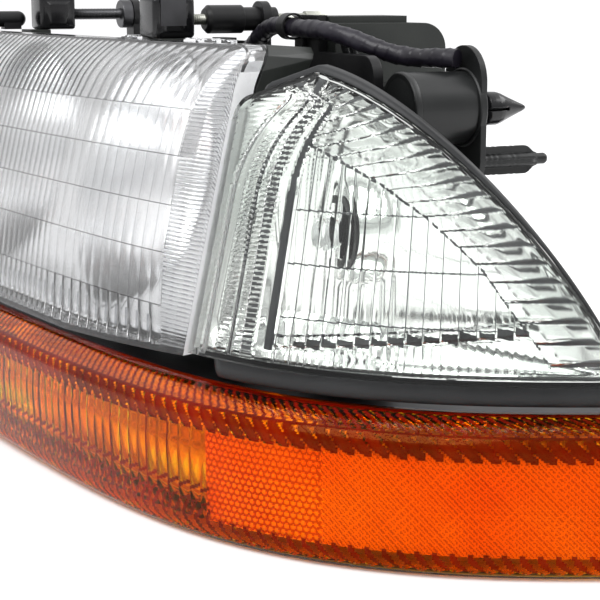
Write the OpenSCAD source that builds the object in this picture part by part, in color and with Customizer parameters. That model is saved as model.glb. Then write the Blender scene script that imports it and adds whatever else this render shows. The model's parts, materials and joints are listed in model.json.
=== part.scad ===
// Car headlight assembly, left-hand unit: aimed headlamp, corner lamp, turn-signal lamp and carrier.
// Front faces -Y, outboard is +X, up is +Z. The origin is the middle of the conical locating pin's round land.

/* [Headlamp] */
// Distance along the lamp's front curve to the headlamp's inboard end
head_s0 = -222; // [-226:1:-215]
// Distance along the curve to the headlamp's outboard end
head_s1 = 151.5; // [149:0.5:152]
// Height of the headlamp lens's top edge
head_top = 217; // [212:1:218]
// Rake of the clear lenses, rise over run
rake = 0.27; // [0.24:0.01:0.3]
// Depth of the headlamp housing's body behind its lens
head_depth = 44; // [40:1:46]
// Focal length of the headlamp reflectors
focus = 20; // [19:0.5:21]
// Wall thickness of the lenses
lens_wall = 3; // [2.4:0.2:3.2]

/* [Corner lamp] */
// Distance along the curve to the corner lens's inboard edge
corner_s0 = 156.5; // [156:0.5:158]
// Distance along the curve to the corner lens's tail
corner_s1 = 380; // [376:1:382]
// Height of the corner lens's peak
corner_top = 206.5; // [202:0.5:207]
// Depth of the corner housing behind its lens
corner_depth = 50; // [46:1:52]

/* [Turn signal] */
// Distance along the curve to the signal lens's inboard end
signal_s0 = -215; // [-220:1:-200]
// Distance along the curve to the signal lens's outboard end
signal_s1 = 398; // [390:1:400]
// Height of the signal lens's front face
signal_h = 62; // [60:1:63]
// Depth of the signal housing from the front curve
signal_depth = 60; // [54:1:62]

/* [Carrier] */
// Front face of the mounting panel
panel_y = 150; // [149:0.5:151]
// Thickness of the mounting panel
panel_t = 5; // [4:0.5:6]
// Radius of the bolt holes' steel sleeves, inside
bolt_r = 3.3; // [3.2:0.05:3.6]
// Greatest radius of the conical locating pin
pin_r = 8; // [7.5:0.1:8]
// Diameter of the taped harness
harness_d = 10; // [8:0.5:10]

/* [Aiming hardware] */
// Radius of the aiming screws' shanks
rod_r = 3; // [2.8:0.05:3.05]
// Radius of the ball on each screw and stud
ball_r = 6; // [5.6:0.1:6]

/* [Hidden] */
$fn = 48;
black = [0.07, 0.07, 0.08];
olive = [0.19, 0.21, 0.18];
chrome = [0.85, 0.86, 0.88];
clear = [0.86, 0.9, 0.92, 0.4];
amber = [0.95, 0.36, 0.02, 0.85];
zinc = [0.66, 0.67, 0.66];

// Rear face of the side bracket's flange
flange_y = 193;
// Middle of the locating pin's round land, in the layout the shapes below are drawn in
datum = [400, flange_y + 11.5, 187];
// Centres of the three aiming balls
pivot_at = [40, 98, 227];
side_at = [250, 98, 227];
height_at = [40, 98, 92];
cap_r = ball_r + 2;
socket_r = cap_r + 0.3;

// Front curve in plan: it turns from nearly straight across the nose to nearly fore-and-aft
curve_from = -240;
curve_step = 4;
curve_n = 166;
function heading(s) = 7 + 66 / (1 + exp(-(s - 245) / 58));
function mid_heading(i) = heading(curve_from + (i + 0.5) * curve_step);
run_x = [for (i = 0, x = 0; i <= curve_n; x = x + curve_step * cos(mid_heading(i)), i = i + 1)
    [curve_from + i * curve_step, x]];
run_y = [for (i = 0, y = 0; i <= curve_n; y = y + curve_step * sin(mid_heading(i)), i = i + 1)
    [curve_from + i * curve_step, y]];
function plan_x(s) = 237 + lookup(s, run_x) - lookup(0, run_x);
function plan_y(s) = 6 + lookup(s, run_y) - lookup(0, run_y);
// A point at distance s along the front curve, d behind it, at height z
function behind(s, d, z) = [plan_x(s) - d * sin(heading(s)), plan_y(s) + d * cos(heading(s)), z];

function mix(a, b, t) = a + (b - a) * t;
function ease(i, n) = 0.5 - 0.5 * cos(180 * i / n);
function corner_drop(x, r) = x >= r ? 0 : r - sqrt(max(0, r * r - (r - x) * (r - x)));
function clamp01(x) = min(1, max(0, x));

// Headlamp lens surface
function head_d(z) = 20 + rake * (z - 72) + 0.02 * pow(max(0, z - 196), 2);
function head_z0(s) = 71 + 5.5 * clamp01((s - 40) / 110);
function head_z1(s) = head_top - corner_drop(min(s - head_s0, head_s1 - s), 12);
head_at = function (a, b, inset, depth)
    let (s = mix(head_s0 + inset, head_s1 - inset, a),
        z = mix(head_z0(s) + inset, head_z1(s) - inset, b))
    behind(s, head_d(z) + depth, z);

// Corner lens surface
peak_s = 211;
function corner_d(z) = 20 + rake * (z - 79);
function corner_fall(x) = 195 - sqrt(195 * 195 - x * x) + 0.14 * x;
function corner_z1(s) = s < peak_s
    ? mix(corner_top - 13.5, corner_top, (s - corner_s0) / (peak_s - corner_s0))
        - corner_drop(s - corner_s0, 9)
    : corner_top - corner_fall(s - peak_s);
corner_z0 = 79;
corner_at = function (a, b, inset, depth)
    let (s = mix(corner_s0 + inset, corner_s1 - 2 * inset, a),
        z0 = corner_z0 + 0.8 * inset,
        z = mix(z0, max(z0 + 2, corner_z1(s) - inset), b))
    behind(s, corner_d(z) + depth, z);
// Distance of the housing's upright back behind the front curve, less towards the tail
function corner_back(s) = 36 + (corner_depth - 16) * clamp01((corner_s1 - s) / 130);
// Layers of the corner housing: inset from the outline, and in front of the back by gap
corner_shell = function (a, b, inset, gap)
    let (p = corner_at(a, b, inset, 0), s = mix(corner_s0 + inset, corner_s1 - 2 * inset, a),
        z = p[2], d = corner_d(z))
    behind(s, max(d + 16, corner_back(s)) - gap, z);

// Signal lens section, from its bottom lip round the face and over the shelf
signal_path = [[22, 0], [6, 0], [2.6, 3], [1.2, 14], [0.4, 26], [0, 38], [0.3, 50], [1.2, signal_h - 4],
    [4, signal_h], [12, signal_h + 3], [20, signal_h + 5.5]];
signal_inner = [[22, 2.6], [7.5, 2.6], [5.2, 5], [3.8, 14], [3, 26], [2.6, 38], [2.9, 50], [3.8, signal_h - 5],
    [6, signal_h - 2], [13, signal_h + 0.6], [20, signal_h + 2.7]];
signal_m = len(signal_path) - 1;
function signal_s(a, inset) = mix(signal_s0 + inset, signal_s1 - inset, a);
// Height that the signal's underside gains towards its inboard end
function signal_lift(s) = 4 * clamp01((150 - s) / 300);
function signal_point(s, p) = behind(s, p[0], p[1] + signal_lift(s) * (1 - p[1] / 70));
function signal_end(p) = [24, p[1]];

// Route of the harness's middle, and of the branches to the corner and marker sockets
harness_route = [[237.9, 143, 207], [250, 143, 209.5], [262, 143, 214.5], [276, 143, 221], [292, 143, 224.5],
    [320, 143.6, 223.5], [342, 148, 222.5], [358, 158, 217.5], [370, 168, 212.5], [382, 175, 210.8], [396, 181, 211],
    [403, 185, 211]];
corner_route = [[417, 162, 135], [417, 179, 135], [408, 187, 132], [382, 187, 134], [356, 184, 142],
    [347, 176, 160], [345, 169, 185], [346, 163, 205], [347.5, 159.8, 210.5], [350.3, 156.9, 215.4]];
signal_route = [[431, 162, 35], [431, 179, 35], [420, 187, 40], [390, 187, 62], [356, 184, 92], [341, 178, 122],
    [339.5, 172, 150], [339.5, 167, 185], [341, 161, 205], [343.2, 157.4, 211.5], [346.2, 154.3, 216.8]];

// Moves the layout so that the datum is the origin
module in_frame() {
    translate(-datum) children();
}

// A cylinder along +Y from y0 to y1
module ycyl(r, y0, y1, x = 0, z = 0, r2 = undef) {
    translate([x, y0, z]) rotate([-90, 0, 0]) cylinder(h = y1 - y0, r1 = r, r2 = is_undef(r2) ? r : r2);
}

// A box between two corners
module span(a, b) {
    translate(a) cube(b - a);
}

// Walks round a grid's border, starting along its lower edge
function border(n, m) = concat([for (i = [0:n - 1]) [i, 0]], [for (j = [0:m - 1]) [n, j]],
    [for (i = [n:-1:1]) [i, m]], [for (j = [m:-1:1]) [0, j]]);
function split(q) = [[q[0], q[1], q[2]], [q[0], q[2], q[3]]];
function turned(f, flip) = flip ? [for (k = [len(f) - 1:-1:0]) f[k]] : f;

// A hollow tray: an outer and an inner skin over one grid, joined by a rim. Each argument is a function of (i, j).
module tray(n, m, outer, inner, rim_outer, rim_inner, flip = false) {
    edge = border(n, m);
    ne = len(edge);
    ng = (n + 1) * (m + 1);
    points = concat([for (j = [0:m]) for (i = [0:n]) outer(i, j)], [for (e = edge) rim_outer(e[0], e[1])],
        [for (e = edge) rim_inner(e[0], e[1])], [for (j = [0:m]) for (i = [0:n]) inner(i, j)]);
    function g(e) = e[1] * (n + 1) + e[0];
    skin = [for (j = [0:m - 1]) for (i = [0:n - 1])
        [g([i, j]), g([i, j + 1]), g([i + 1, j + 1]), g([i + 1, j])]];
    shift = ng + 2 * ne;
    lining = [for (q = skin) [shift + q[3], shift + q[2], shift + q[1], shift + q[0]]];
    walls = [for (k = [0:ne - 1]) let (l = (k + 1) % ne)
        each [[g(edge[k]), g(edge[l]), ng + l, ng + k], [ng + k, ng + l, ng + ne + l, ng + ne + k],
            [ng + ne + k, ng + ne + l, shift + g(edge[l]), shift + g(edge[k])]]];
    polyhedron(points, [for (q = concat(skin, walls, lining)) each [for (t = split(q)) turned(t, flip)]]);
}

// A closed band of four-cornered section round a grid's border. corner(k, i, j) gives corner k of 0 to 3.
module band(n, m, corner) {
    edge = border(n, m);
    ne = len(edge);
    points = [for (e = edge) for (k = [0:3]) corner(k, e[0], e[1])];
    polyhedron(points, [for (e = [0:ne - 1]) let (f = (e + 1) % ne) for (k = [0:3]) let (l = (k + 1) % 4)
        each split([e * 4 + k, f * 4 + k, f * 4 + l, e * 4 + l])]);
}

// A round tube swept along a list of points
function unit(v) = v / norm(v);
function heading_at(p, i) = unit(p[min(i + 1, len(p) - 1)] - p[max(i - 1, 0)]);
function catmull(a, b, c, d, t) = 0.5 * (2 * b + (c - a) * t + (2 * a - 5 * b + 4 * c - d) * t * t
    + (3 * b - a - 3 * c + d) * t * t * t);
function smooth(p, n) = concat([for (i = [0:len(p) - 2]) for (k = [0:n - 1])
    catmull(p[max(i - 1, 0)], p[i], p[i + 1], p[min(i + 2, len(p) - 1)], k / n)], [p[len(p) - 1]]);
module tube(path, d, sides) {
    n = len(path);
    points = [for (i = [0:n - 1]) let (t = heading_at(path, i), u = unit(cross(t, [0.31, 0.2, 0.93])),
        v = cross(t, u)) for (k = [0:sides - 1]) path[i]
        + d / 2 * (u * cos(360 * k / sides) + v * sin(360 * k / sides))];
    sides_of = [for (i = [0:n - 2]) for (k = [0:sides - 1]) let (l = (k + 1) % sides)
        each split([i * sides + k, i * sides + l, (i + 1) * sides + l, (i + 1) * sides + k])];
    first = [for (k = [sides - 1:-1:0]) k];
    last = [for (k = [0:sides - 1]) (n - 1) * sides + k];
    polyhedron(points, concat([first, last], sides_of));
}

// ---- Headlamp ----

head_n = 26;
head_m = 9;
function head_grid(i, j, inset, depth) = head_at(ease(i, head_n), ease(j, head_m), inset, depth);

module headlamp_lens() {
    color(clear) in_frame() tray(head_n, head_m,
        function (i, j) head_grid(i, j, 0, 0),
        function (i, j) head_grid(i, j, lens_wall, lens_wall),
        function (i, j) head_grid(i, j, 0, 12),
        function (i, j) head_grid(i, j, lens_wall, 12));
}

module headlamp_seal() {
    color(black) in_frame() band(20, 6, function (k, i, j)
        head_at(ease(i, 20), ease(j, 6), k == 0 || k == 3 ? 0.6 : 2.6, k < 2 ? 12.6 : 13.25));
}

// Bowl centres: low beam outboard, high beam inboard
low_at = [266, 145];
high_at = [112, 145];
bowl_end = 170;
bowl_open = 119;
function bowl_r(y) = sqrt(4 * focus * max(0, bowl_end - y));

// A paraboloid shell about +Y with a straight collar in front, cut off by the lamp's raked front.
// turn is the front's heading there, and front is how far forward the collar reaches on the axis.
module bowl(at, grow, wall, turn, front, hole_r) {
    ys = [for (k = [0:7]) mix(bowl_open, 164, k / 7)];
    rear = 164 + grow;
    profile = concat([[bowl_r(bowl_open) + grow, -40]], [for (y = ys) [bowl_r(y) + grow, y]],
        [[hole_r + wall, rear], [hole_r, rear], [hole_r, rear - wall]],
        [for (k = [7:-1:0]) [bowl_r(ys[k]) + grow - wall, ys[k] - (grow > 0 ? 0 : 1)]],
        [[bowl_r(bowl_open) + grow - wall, -40]]);
    difference() {
        translate([at[0], 0, at[1]]) rotate([-90, 0, 0]) rotate_extrude($fn = 96)
            polygon(profile);
        translate([at[0], front, at[1]]) rotate([0, 0, turn]) rotate([atan(-rake), 0, 0])
            translate([-150, -300, -150]) cube([300, 300, 300]);
    }
}

module bulb_neck(at) {
    difference() {
        ycyl(23, 165, 178, at[0], at[1]);
        ycyl(17, 160, 180, at[0], at[1]);
    }
}

module headlamp_housing() {
    color(olive) in_frame() {
        difference() {
            tray(20, 6,
                function (i, j) head_at(ease(i, 20), ease(j, 6), 2, head_depth),
                function (i, j) head_at(ease(i, 20), ease(j, 6), 4.6, head_depth - 2.6),
                function (i, j) head_at(ease(i, 20), ease(j, 6), 0, 13.4),
                function (i, j) head_at(ease(i, 20), ease(j, 6), 2.6, 13.4), flip = true);
            ycyl(66, 20, 200, low_at[0], low_at[1], $fn = 96);
            ycyl(66, 20, 200, high_at[0], high_at[1], $fn = 96);
        }
        bowl(low_at, 4, 2.4, 10, 90, 17);
        bulb_neck(low_at);
        bowl(high_at, 4, 2.4, 7, 69, 17);
        bulb_neck(high_at);
        span([29, 80, 213.4], [51, 93, 217.5]);
        span([239, 90.6, 213.4], [261, 108, 217.5]);
        span([30, 44, 82], [50, 58, 102]);
    }
}

module headlamp_bezel() {
    color(chrome) in_frame() difference() {
        tray(20, 6,
            function (i, j) head_at(ease(i, 20), ease(j, 6), 5, 28),
            function (i, j) head_at(ease(i, 20), ease(j, 6), 6.4, 26.6),
            function (i, j) head_at(ease(i, 20), ease(j, 6), 5, 15),
            function (i, j) head_at(ease(i, 20), ease(j, 6), 6.4, 15), flip = true);
        ycyl(64.6, 10, 200, low_at[0], low_at[1], $fn = 96);
        ycyl(64.6, 10, 200, high_at[0], high_at[1], $fn = 96);
    }
}
module low_reflector() { color(chrome) in_frame() bowl(low_at, 0, 1.6, 10, 77, 15.5); }
module high_reflector() { color(chrome) in_frame() bowl(high_at, 0, 1.6, 7, 56, 15.5); }

// A halogen bulb: glass envelope, sealed base and plug body
module halogen(at) {
    color([0.8, 0.82, 0.85, 0.7]) in_frame() {
        ycyl(6, 124, 158, at[0], at[1]);
        translate([at[0], 124, at[1]]) sphere(6);
        ycyl(9, 156, 168, at[0], at[1]);
        ycyl(16.6, 167, 171, at[0], at[1]);
        ycyl(14.8, 170, 174, at[0], at[1]);
        ycyl(16.6, 173.5, 179, at[0], at[1]);
        ycyl(22, 178.1, 181, at[0], at[1]);
        span([at[0] - 10, 180.5, at[1] - 8], [at[0] + 10, 202, at[1] + 8]);
    }
}
module low_bulb() { halogen(low_at); }
module high_bulb() { halogen(high_at); }

// A metal glare cap on two legs in front of the bulb
module glare_shield(at) {
    color([0.3, 0.31, 0.33]) in_frame() {
        difference() {
            ycyl(10, 104, 122, at[0], at[1]);
            ycyl(9, 105, 123, at[0], at[1]);
        }
        for (side = [-1, 1]) {
            span([at[0] - 1.5 + side * 14.1, 118, at[1] - 2], [at[0] + 1.5 + side * 14.1, 120, at[1] + 2]);
            span([at[0] - 5.1 + side * 14, 118, at[1] - 2], [at[0] + 5.1 + side * 14, 119.5, at[1] + 2]);
            span([at[0] - 0.7 + side * 18.4, 118, at[1] - 2], [at[0] + 0.7 + side * 18.4, 162.2, at[1] + 2]);
        }
    }
}
module low_shield() { glare_shield(low_at); }
module high_shield() { glare_shield(high_at); }

// A ring that twists onto the neck and holds the bulb's flange
module bulb_ring(at) {
    color(black) in_frame() {
        difference() {
            ycyl(27, 170, 184.5, at[0], at[1]);
            ycyl(23.4, 168, 181.3, at[0], at[1]);
            ycyl(16.5, 160, 190, at[0], at[1]);
        }
        for (k = [0:5]) translate([at[0], 0, at[1]]) rotate([0, 60 * k, 0])
            span([26.5, 171, -3], [29.5, 184, 3]);
    }
}
module low_ring() { bulb_ring(low_at); }
module high_ring() { bulb_ring(high_at); }
module o_ring(at) {
    color(black) in_frame() translate([at[0], 172.25, at[1]]) rotate([-90, 0, 0])
        rotate_extrude() translate([15.9, 0]) circle(0.95, $fn = 24);
}
module low_o_ring() { o_ring(low_at); }
module high_o_ring() { o_ring(high_at); }

module vent_tube() {
    color(black) in_frame() {
        ycyl(5, 54, 78, 28, 224);
        translate([28, 78, 224]) sphere(5);
        span([23.5, 68, 217.6], [32.5, 79, 222]);
    }
}

// A block with a ball cavity that opens rearwards
module ball_block(at, low, high, foot) {
    difference() {
        union() {
            span([at[0] - 12, at[1] - 12, at[2] + low], [at[0] + 12, at[1] + 12, at[2] + high]);
            children();
        }
        translate(at) sphere(socket_r);
        ycyl(6.6, at[1], at[1] + 20, at[0], at[2]);
    }
}
module pivot_block() { color(black) in_frame() ball_block(pivot_at, -9.4, 12); }
module side_block() { color(black) in_frame() ball_block(side_at, -9.4, 12); }
module height_block() {
    color(black) in_frame() ball_block(height_at, -12, 12)
        span([31, 58.1, 83], [49, 87, 101]);
}
module side_block_clip() {
    color(zinc) in_frame() {
        span([237, 90, 239.1], [263, 104, 240]);
        for (x = [237, 262.1]) span([x, 90, 224], [x + 0.9, 104, 239.5]);
    }
}

// A snap-in cap round a ball, open to the rear
module ball_cap(at) {
    color([0.85, 0.84, 0.8]) in_frame() translate(at) rotate([-90, 0, 0]) rotate_extrude()
        difference() {
            intersection() {
                circle(cap_r);
                translate([0, -cap_r]) square([cap_r, 2 * cap_r]);
            }
            circle(ball_r + 0.25);
            translate([-1, 0]) square([1 + 4.6, cap_r + 1]);
        }
}
module pivot_cap() { ball_cap(pivot_at); }
module side_cap() { ball_cap(side_at); }
module height_cap() { ball_cap(height_at); }

// An aiming screw: ball, shank and hexagonal end
module aim_screw(at) {
    color(zinc) in_frame() {
        translate(at) sphere(ball_r);
        ycyl(rod_r, at[1], 184, at[0], at[2]);
        ycyl(4.6, 178, 190, at[0], at[2], $fn = 6);
    }
}
module side_screw() { aim_screw(side_at); }
module height_screw() { aim_screw(height_at); }

// ---- Carrier ----

module rounded(x0, z0, x1, z1, r) {
    translate([x0 + r, z0]) square([x1 - x0 - 2 * r, z1 - z0]);
    translate([x0, z0 + r]) square([x1 - x0, z1 - z0 - 2 * r]);
    for (x = [x0 + r, x1 - r]) for (z = [z0 + r, z1 - r]) translate([x, z]) circle(r);
}

// Extrudes an X-Z outline from y0 to y1
module plate(y0, y1) {
    translate([0, y1, 0]) rotate([90, 0, 0]) linear_extrude(y1 - y0) children();
}

nut_r = 7.5;
sleeves = [[36, 150], [354, 150], [200, 50]];
corner_posts = [[377, 112], [377, 168]];
signal_posts = [[-60, 34], [110, 34]];

module nut_tab(at) {
    translate([at[0], at[2]]) circle(nut_r + 2);
    translate([at[0] - 7, min(at[2], 200)]) square([14, abs(at[2] - 200)]);
}

module mounting_panel() {
    back = panel_y + panel_t;
    color(black) in_frame() difference() {
        union() {
            plate(panel_y, back) difference() {
                union() {
                    rounded(14, 14, 386, 212, 10);
                    nut_tab(side_at);
                    nut_tab(pivot_at);
                    translate([298, 205]) square([28, 25]);
                }
                rounded(60, 92, 322, 200, 20);
            }
            plate(back, back + 7) difference() {
                rounded(14, 14, 386, 206, 10);
                rounded(17, 17, 383, 203, 8);
                span2([296, 176], [388, 208]);
            }
            plate(back, back + 7) difference() {
                rounded(56, 88, 326, 203, 22);
                rounded(59, 91, 323, 200, 20);
                span2([296, 176], [388, 208]);
            }
            for (s = [-150, -20, 90]) let (p = behind(s, signal_depth, 30))
                span([p[0] - 2, p[1] + 0.8, 16], [p[0] + 2, panel_y + 1, 52]);
            for (x = [90, 290]) span([x - 1.5, back - 1, 20], [x + 1.5, back + 7, 88]);
        }
        ycyl(nut_r - 1.1, 140, 180, side_at[0], side_at[2]);
        ycyl(nut_r - 1.1, 140, 180, height_at[0], height_at[2]);
        ycyl(4, 140, 180, pivot_at[0], pivot_at[2]);
        for (p = sleeves) ycyl(5.1, 140, 180, p[0], p[1]);
        for (p = corner_posts) ycyl(2.3, 140, 180, p[0], p[1]);
        for (q = signal_posts) ycyl(2.3, 140, 180, behind(q[0], signal_depth, 0)[0], q[1]);
    }
}
module span2(a, b) {
    translate(a) square(b - a);
}

module carrier_arm() {
    back = panel_y + panel_t + 0.1;
    color(olive) in_frame() {
        difference() {
            union() {
                span([300, back, 186], [335, 205, 226]);
                translate([300, 205, 213]) rotate([0, 90, 0]) cylinder(h = 35, r = 13);
                span([300, 200, 186], [335, 218, 213]);
            }
            span([302.4, back + 3, 180], [332.6, 203, 223.5]);
        }
        span([302, back, 226], [328, 199, 229.5]);
    }
}

drum_y = 156;
module side_bracket() {
    color(black) in_frame() difference() {
        union() {
            ycyl(17, drum_y, 190, 400, 188);
            span([353, panel_y + panel_t + 0.1, 178], [386, 184, 198]);
            plate(190, flange_y) union() {
                translate([400, 200]) circle(17);
                translate([400, 165]) circle(17);
                span2([383, 165], [417, 200]);
            }
        }
        ycyl(14.4, drum_y + 3, 187, 400, 188);
        span([356, 158, 170], [384, 181, 195.5]);
    }
}

module locating_pin() {
    y = flange_y;
    x = datum[0];
    z = datum[2];
    color(black) in_frame() difference() {
        union() {
            ycyl(5, y, y + 7, x, z);
            ycyl(5, y + 5, y + 8, x, z, r2 = pin_r);
            ycyl(pin_r, y + 8, y + 15, x, z);
            ycyl(pin_r, y + 15, y + 30, x, z, r2 = 1.8);
            translate([x, y + 30, z]) sphere(1.8);
        }
        span([x - 9, y + 6, z - 0.6], [x + 9, y + 19, z + 0.6]);
    }
}
module pin_clip() {
    y = flange_y;
    color([0.16, 0.16, 0.17]) in_frame() {
        for (k = [0:2]) difference() {
            ycyl(8.6 - 0.4 * k, y + 0.1 + 1.6 * k, y + 1.8 + 1.6 * k, datum[0], datum[2]);
            ycyl(5.2, y - 1, y + 8, datum[0], datum[2]);
        }
        span([datum[0] - 3, y + 0.1, datum[2] + 7.5], [datum[0] + 3, y + 4, datum[2] + 17]);
    }
}
module locating_post() {
    y = flange_y;
    color(black) in_frame() {
        for (a = [0, 90]) translate([400, 0, 162]) rotate([0, a, 0]) translate([-400, 0, -162])
            span([400 - 6.8, y, 161], [400 + 6.8, y + 36, 163]);
        ycyl(3.4, y, y + 38, 400, 162);
        ycyl(2.9, y + 37, y + 44, 400, 162);
    }
}

module sleeve(p) {
    color(zinc) in_frame() difference() {
        ycyl(5, panel_y - 1.5, panel_y + panel_t + 1.5, p[0], p[1]);
        ycyl(bolt_r, 100, 200, p[0], p[1]);
    }
}
module bolt_sleeve_inboard() { sleeve(sleeves[0]); }
module bolt_sleeve_outboard() { sleeve(sleeves[1]); }
module bolt_sleeve_lower() { sleeve(sleeves[2]); }

// A threaded bush that the aiming screw runs through
module nut(at) {
    color(black) in_frame() difference() {
        union() {
            ycyl(nut_r, 121, 140, at[0], at[2]);
            ycyl(5.6, 119, 121.1, at[0], at[2], r2 = nut_r);
            ycyl(nut_r - 1.2, 139, 160, at[0], at[2]);
        }
        ycyl(rod_r + 0.05, 100, 200, at[0], at[2]);
    }
}
module side_nut() { nut(side_at); }
module height_nut() { nut(height_at); }
module pivot_stud() {
    color(zinc) in_frame() {
        translate(pivot_at) sphere(ball_r);
        ycyl(3.6, pivot_at[1], 162, pivot_at[0], pivot_at[2]);
        ycyl(9, 143, panel_y - 0.1, pivot_at[0], pivot_at[2]);
        ycyl(7, panel_y + panel_t + 0.1, 160, pivot_at[0], pivot_at[2], $fn = 6);
    }
}

// ---- Corner lamp ----

cn = 24;
cm = 8;
corner_bulb_at = [417, 135];
// The outboard outline may stand proud of the lens, while the inboard edge stays back from the headlamp
function corner_rim(i, j, out, depth) =
    let (a = ease(i, cn), b = ease(j, cm), s = mix(corner_s0 - min(out, 0.8), corner_s1 + out, a),
        t = min(max(s, corner_s0), corner_s1), z0 = corner_z0 - (out > 1 ? out + 5.6 : out), z = mix(z0, corner_z1(t) + out, b))
    behind(s, corner_d(z) + depth, z);

module corner_lens() {
    color(clear) in_frame() tray(cn, cm,
        function (i, j) corner_at(ease(i, cn), ease(j, cm), 0, 0),
        function (i, j) corner_at(ease(i, cn), ease(j, cm), lens_wall, lens_wall),
        function (i, j) corner_at(ease(i, cn), ease(j, cm), 0, 10),
        function (i, j) corner_at(ease(i, cn), ease(j, cm), lens_wall, 10));
}
module corner_gasket() {
    color(black) in_frame() band(cn, cm, function (k, i, j)
        corner_rim(i, j, k == 0 || k == 3 ? 3.6 : 0.3, k < 2 ? 2.5 : 10.8));
}
module corner_housing() {
    color(black) in_frame() difference() {
        union() {
            tray(20, 6,
                function (i, j) corner_shell(ease(i, 20), ease(j, 6), 1.5, 0),
                function (i, j) corner_shell(ease(i, 20), ease(j, 6), 3.6, 2.2),
                function (i, j) corner_at(ease(i, 20), ease(j, 6), 0, 11.2),
                function (i, j) corner_at(ease(i, 20), ease(j, 6), 2.2, 11.2), flip = true);
            ycyl(16.5, 118, 148, corner_bulb_at[0], corner_bulb_at[1]);
            for (p = corner_posts) ycyl(5.5, 105.5, panel_y - 0.1, p[0], p[1]);
        }
        ycyl(13, 60, 160, corner_bulb_at[0], corner_bulb_at[1]);
        for (p = corner_posts) ycyl(1.9, 128, 160, p[0], p[1]);
    }
}
module corner_reflector() {
    color(chrome) in_frame() difference() {
        tray(20, 6,
            function (i, j) corner_shell(ease(i, 20), ease(j, 6), 4.6, 5),
            function (i, j) corner_shell(ease(i, 20), ease(j, 6), 5.8, 6.2),
            function (i, j) corner_at(ease(i, 20), ease(j, 6), 4.6, 8.5),
            function (i, j) corner_at(ease(i, 20), ease(j, 6), 5.8, 8.5), flip = true);
        ycyl(17.2, 60, 160, corner_bulb_at[0], corner_bulb_at[1]);
    }
}

// A small bulb, y being the middle of its glass
module small_bulb(at, y, tint) {
    color(tint) in_frame() {
        translate([at[0], y, at[1]]) sphere(8);
        ycyl(6.4, y, y + 14, at[0], at[1]);
    }
}
// A twist socket behind a small bulb, with its flange on a boss that ends at y
module twist_socket(at, y) {
    color([0.2, 0.2, 0.21]) in_frame() difference() {
        union() {
            ycyl(12.6, y - 24, y + 1, at[0], at[1]);
            ycyl(17, y + 0.1, y + 3.5, at[0], at[1]);
            ycyl(11, y + 3, y + 22, at[0], at[1]);
            span([at[0] - 13, y + 3, at[1] - 2], [at[0] + 13, y + 16, at[1] + 2]);
        }
        ycyl(8.3, y - 30, y - 6, at[0], at[1]);
        ycyl(3.2, y + 12, y + 30, at[0], at[1]);
    }
}
module screw(x, z, depth) {
    y = panel_y + panel_t;
    color(zinc) in_frame() {
        ycyl(5, y + 0.1, y + 2.6, x, z);
        ycyl(3.4, y + 2.5, y + 4.4, x, z, $fn = 6);
        ycyl(1.8, y - depth, y + 1, x, z);
    }
}
module corner_bulb() { small_bulb(corner_bulb_at, 112, [0.92, 0.93, 0.95, 0.6]); }
module corner_socket() { twist_socket(corner_bulb_at, 148); }
module corner_screw_upper() { screw(corner_posts[1][0], corner_posts[1][1], 22); }
module corner_screw_lower() { screw(corner_posts[0][0], corner_posts[0][1], 22); }

// ---- Turn-signal lamp ----

sn = 32;
signal_bulb_at = [141, 35];
marker_bulb_at = [431, 35];
signal_top = signal_h + 4;
function signal_back(s) = signal_depth - 16 * clamp01((s - 300) / 98);
function signal_shell(i, j, inset, d) =
    let (s = mix(signal_s0 + inset, signal_s1 - inset, i / 24), z = mix(1.4 + inset, signal_top - inset, j / 4))
    behind(s, d < 0 ? signal_back(s) + d : d, z + signal_lift(s) * (1 - z / 70));

module signal_lens() {
    color(amber) in_frame() tray(sn, signal_m,
        function (i, j) signal_point(mix(signal_s0, signal_s1, i / sn), signal_path[j]),
        function (i, j) signal_point(mix(signal_s0 + 3, signal_s1 - 3, i / sn), signal_inner[j]),
        function (i, j) signal_point(mix(signal_s0, signal_s1, i / sn), signal_end(signal_path[j])),
        function (i, j) signal_point(mix(signal_s0 + 3, signal_s1 - 3, i / sn), signal_end(signal_inner[j])));
}
module signal_gasket() {
    color(black) in_frame() band(24, 4, function (k, i, j)
        signal_shell(i, j, k == 0 || k == 3 ? 0.4 : 2, k < 2 ? 24.2 : 25));
}
module signal_housing() {
    color(black) in_frame() difference() {
        union() {
            tray(24, 4,
                function (i, j) signal_shell(i, j, 1, -0.01),
                function (i, j) signal_shell(i, j, 3.4, -2.4),
                function (i, j) signal_shell(i, j, 0, 25.2),
                function (i, j) signal_shell(i, j, 2.4, 25.2), flip = true);
            ycyl(16.5, 48, 62, signal_bulb_at[0], signal_bulb_at[1]);
            ycyl(16.5, 116, 148, marker_bulb_at[0], marker_bulb_at[1]);
            for (q = signal_posts) let (p = behind(q[0], signal_depth - 2, 0))
                ycyl(6, p[1], panel_y - 0.1, p[0], q[1]);
        }
        ycyl(13, 0, 90, signal_bulb_at[0], signal_bulb_at[1]);
        ycyl(13, 88, 170, marker_bulb_at[0], marker_bulb_at[1]);
        for (q = signal_posts) ycyl(1.9, panel_y - 30, 170, behind(q[0], signal_depth - 2, 0)[0], q[1]);
    }
}
module signal_reflector() {
    color(chrome) in_frame() difference() {
        tray(24, 4,
            function (i, j) signal_shell(i, j, 5, -4.6),
            function (i, j) signal_shell(i, j, 6.2, -5.8),
            function (i, j) signal_shell(i, j, 5, 26),
            function (i, j) signal_shell(i, j, 6.2, 26), flip = true);
        ycyl(17.2, 0, 90, signal_bulb_at[0], signal_bulb_at[1]);
        ycyl(17.2, 88, 170, marker_bulb_at[0], marker_bulb_at[1]);
    }
}
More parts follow.
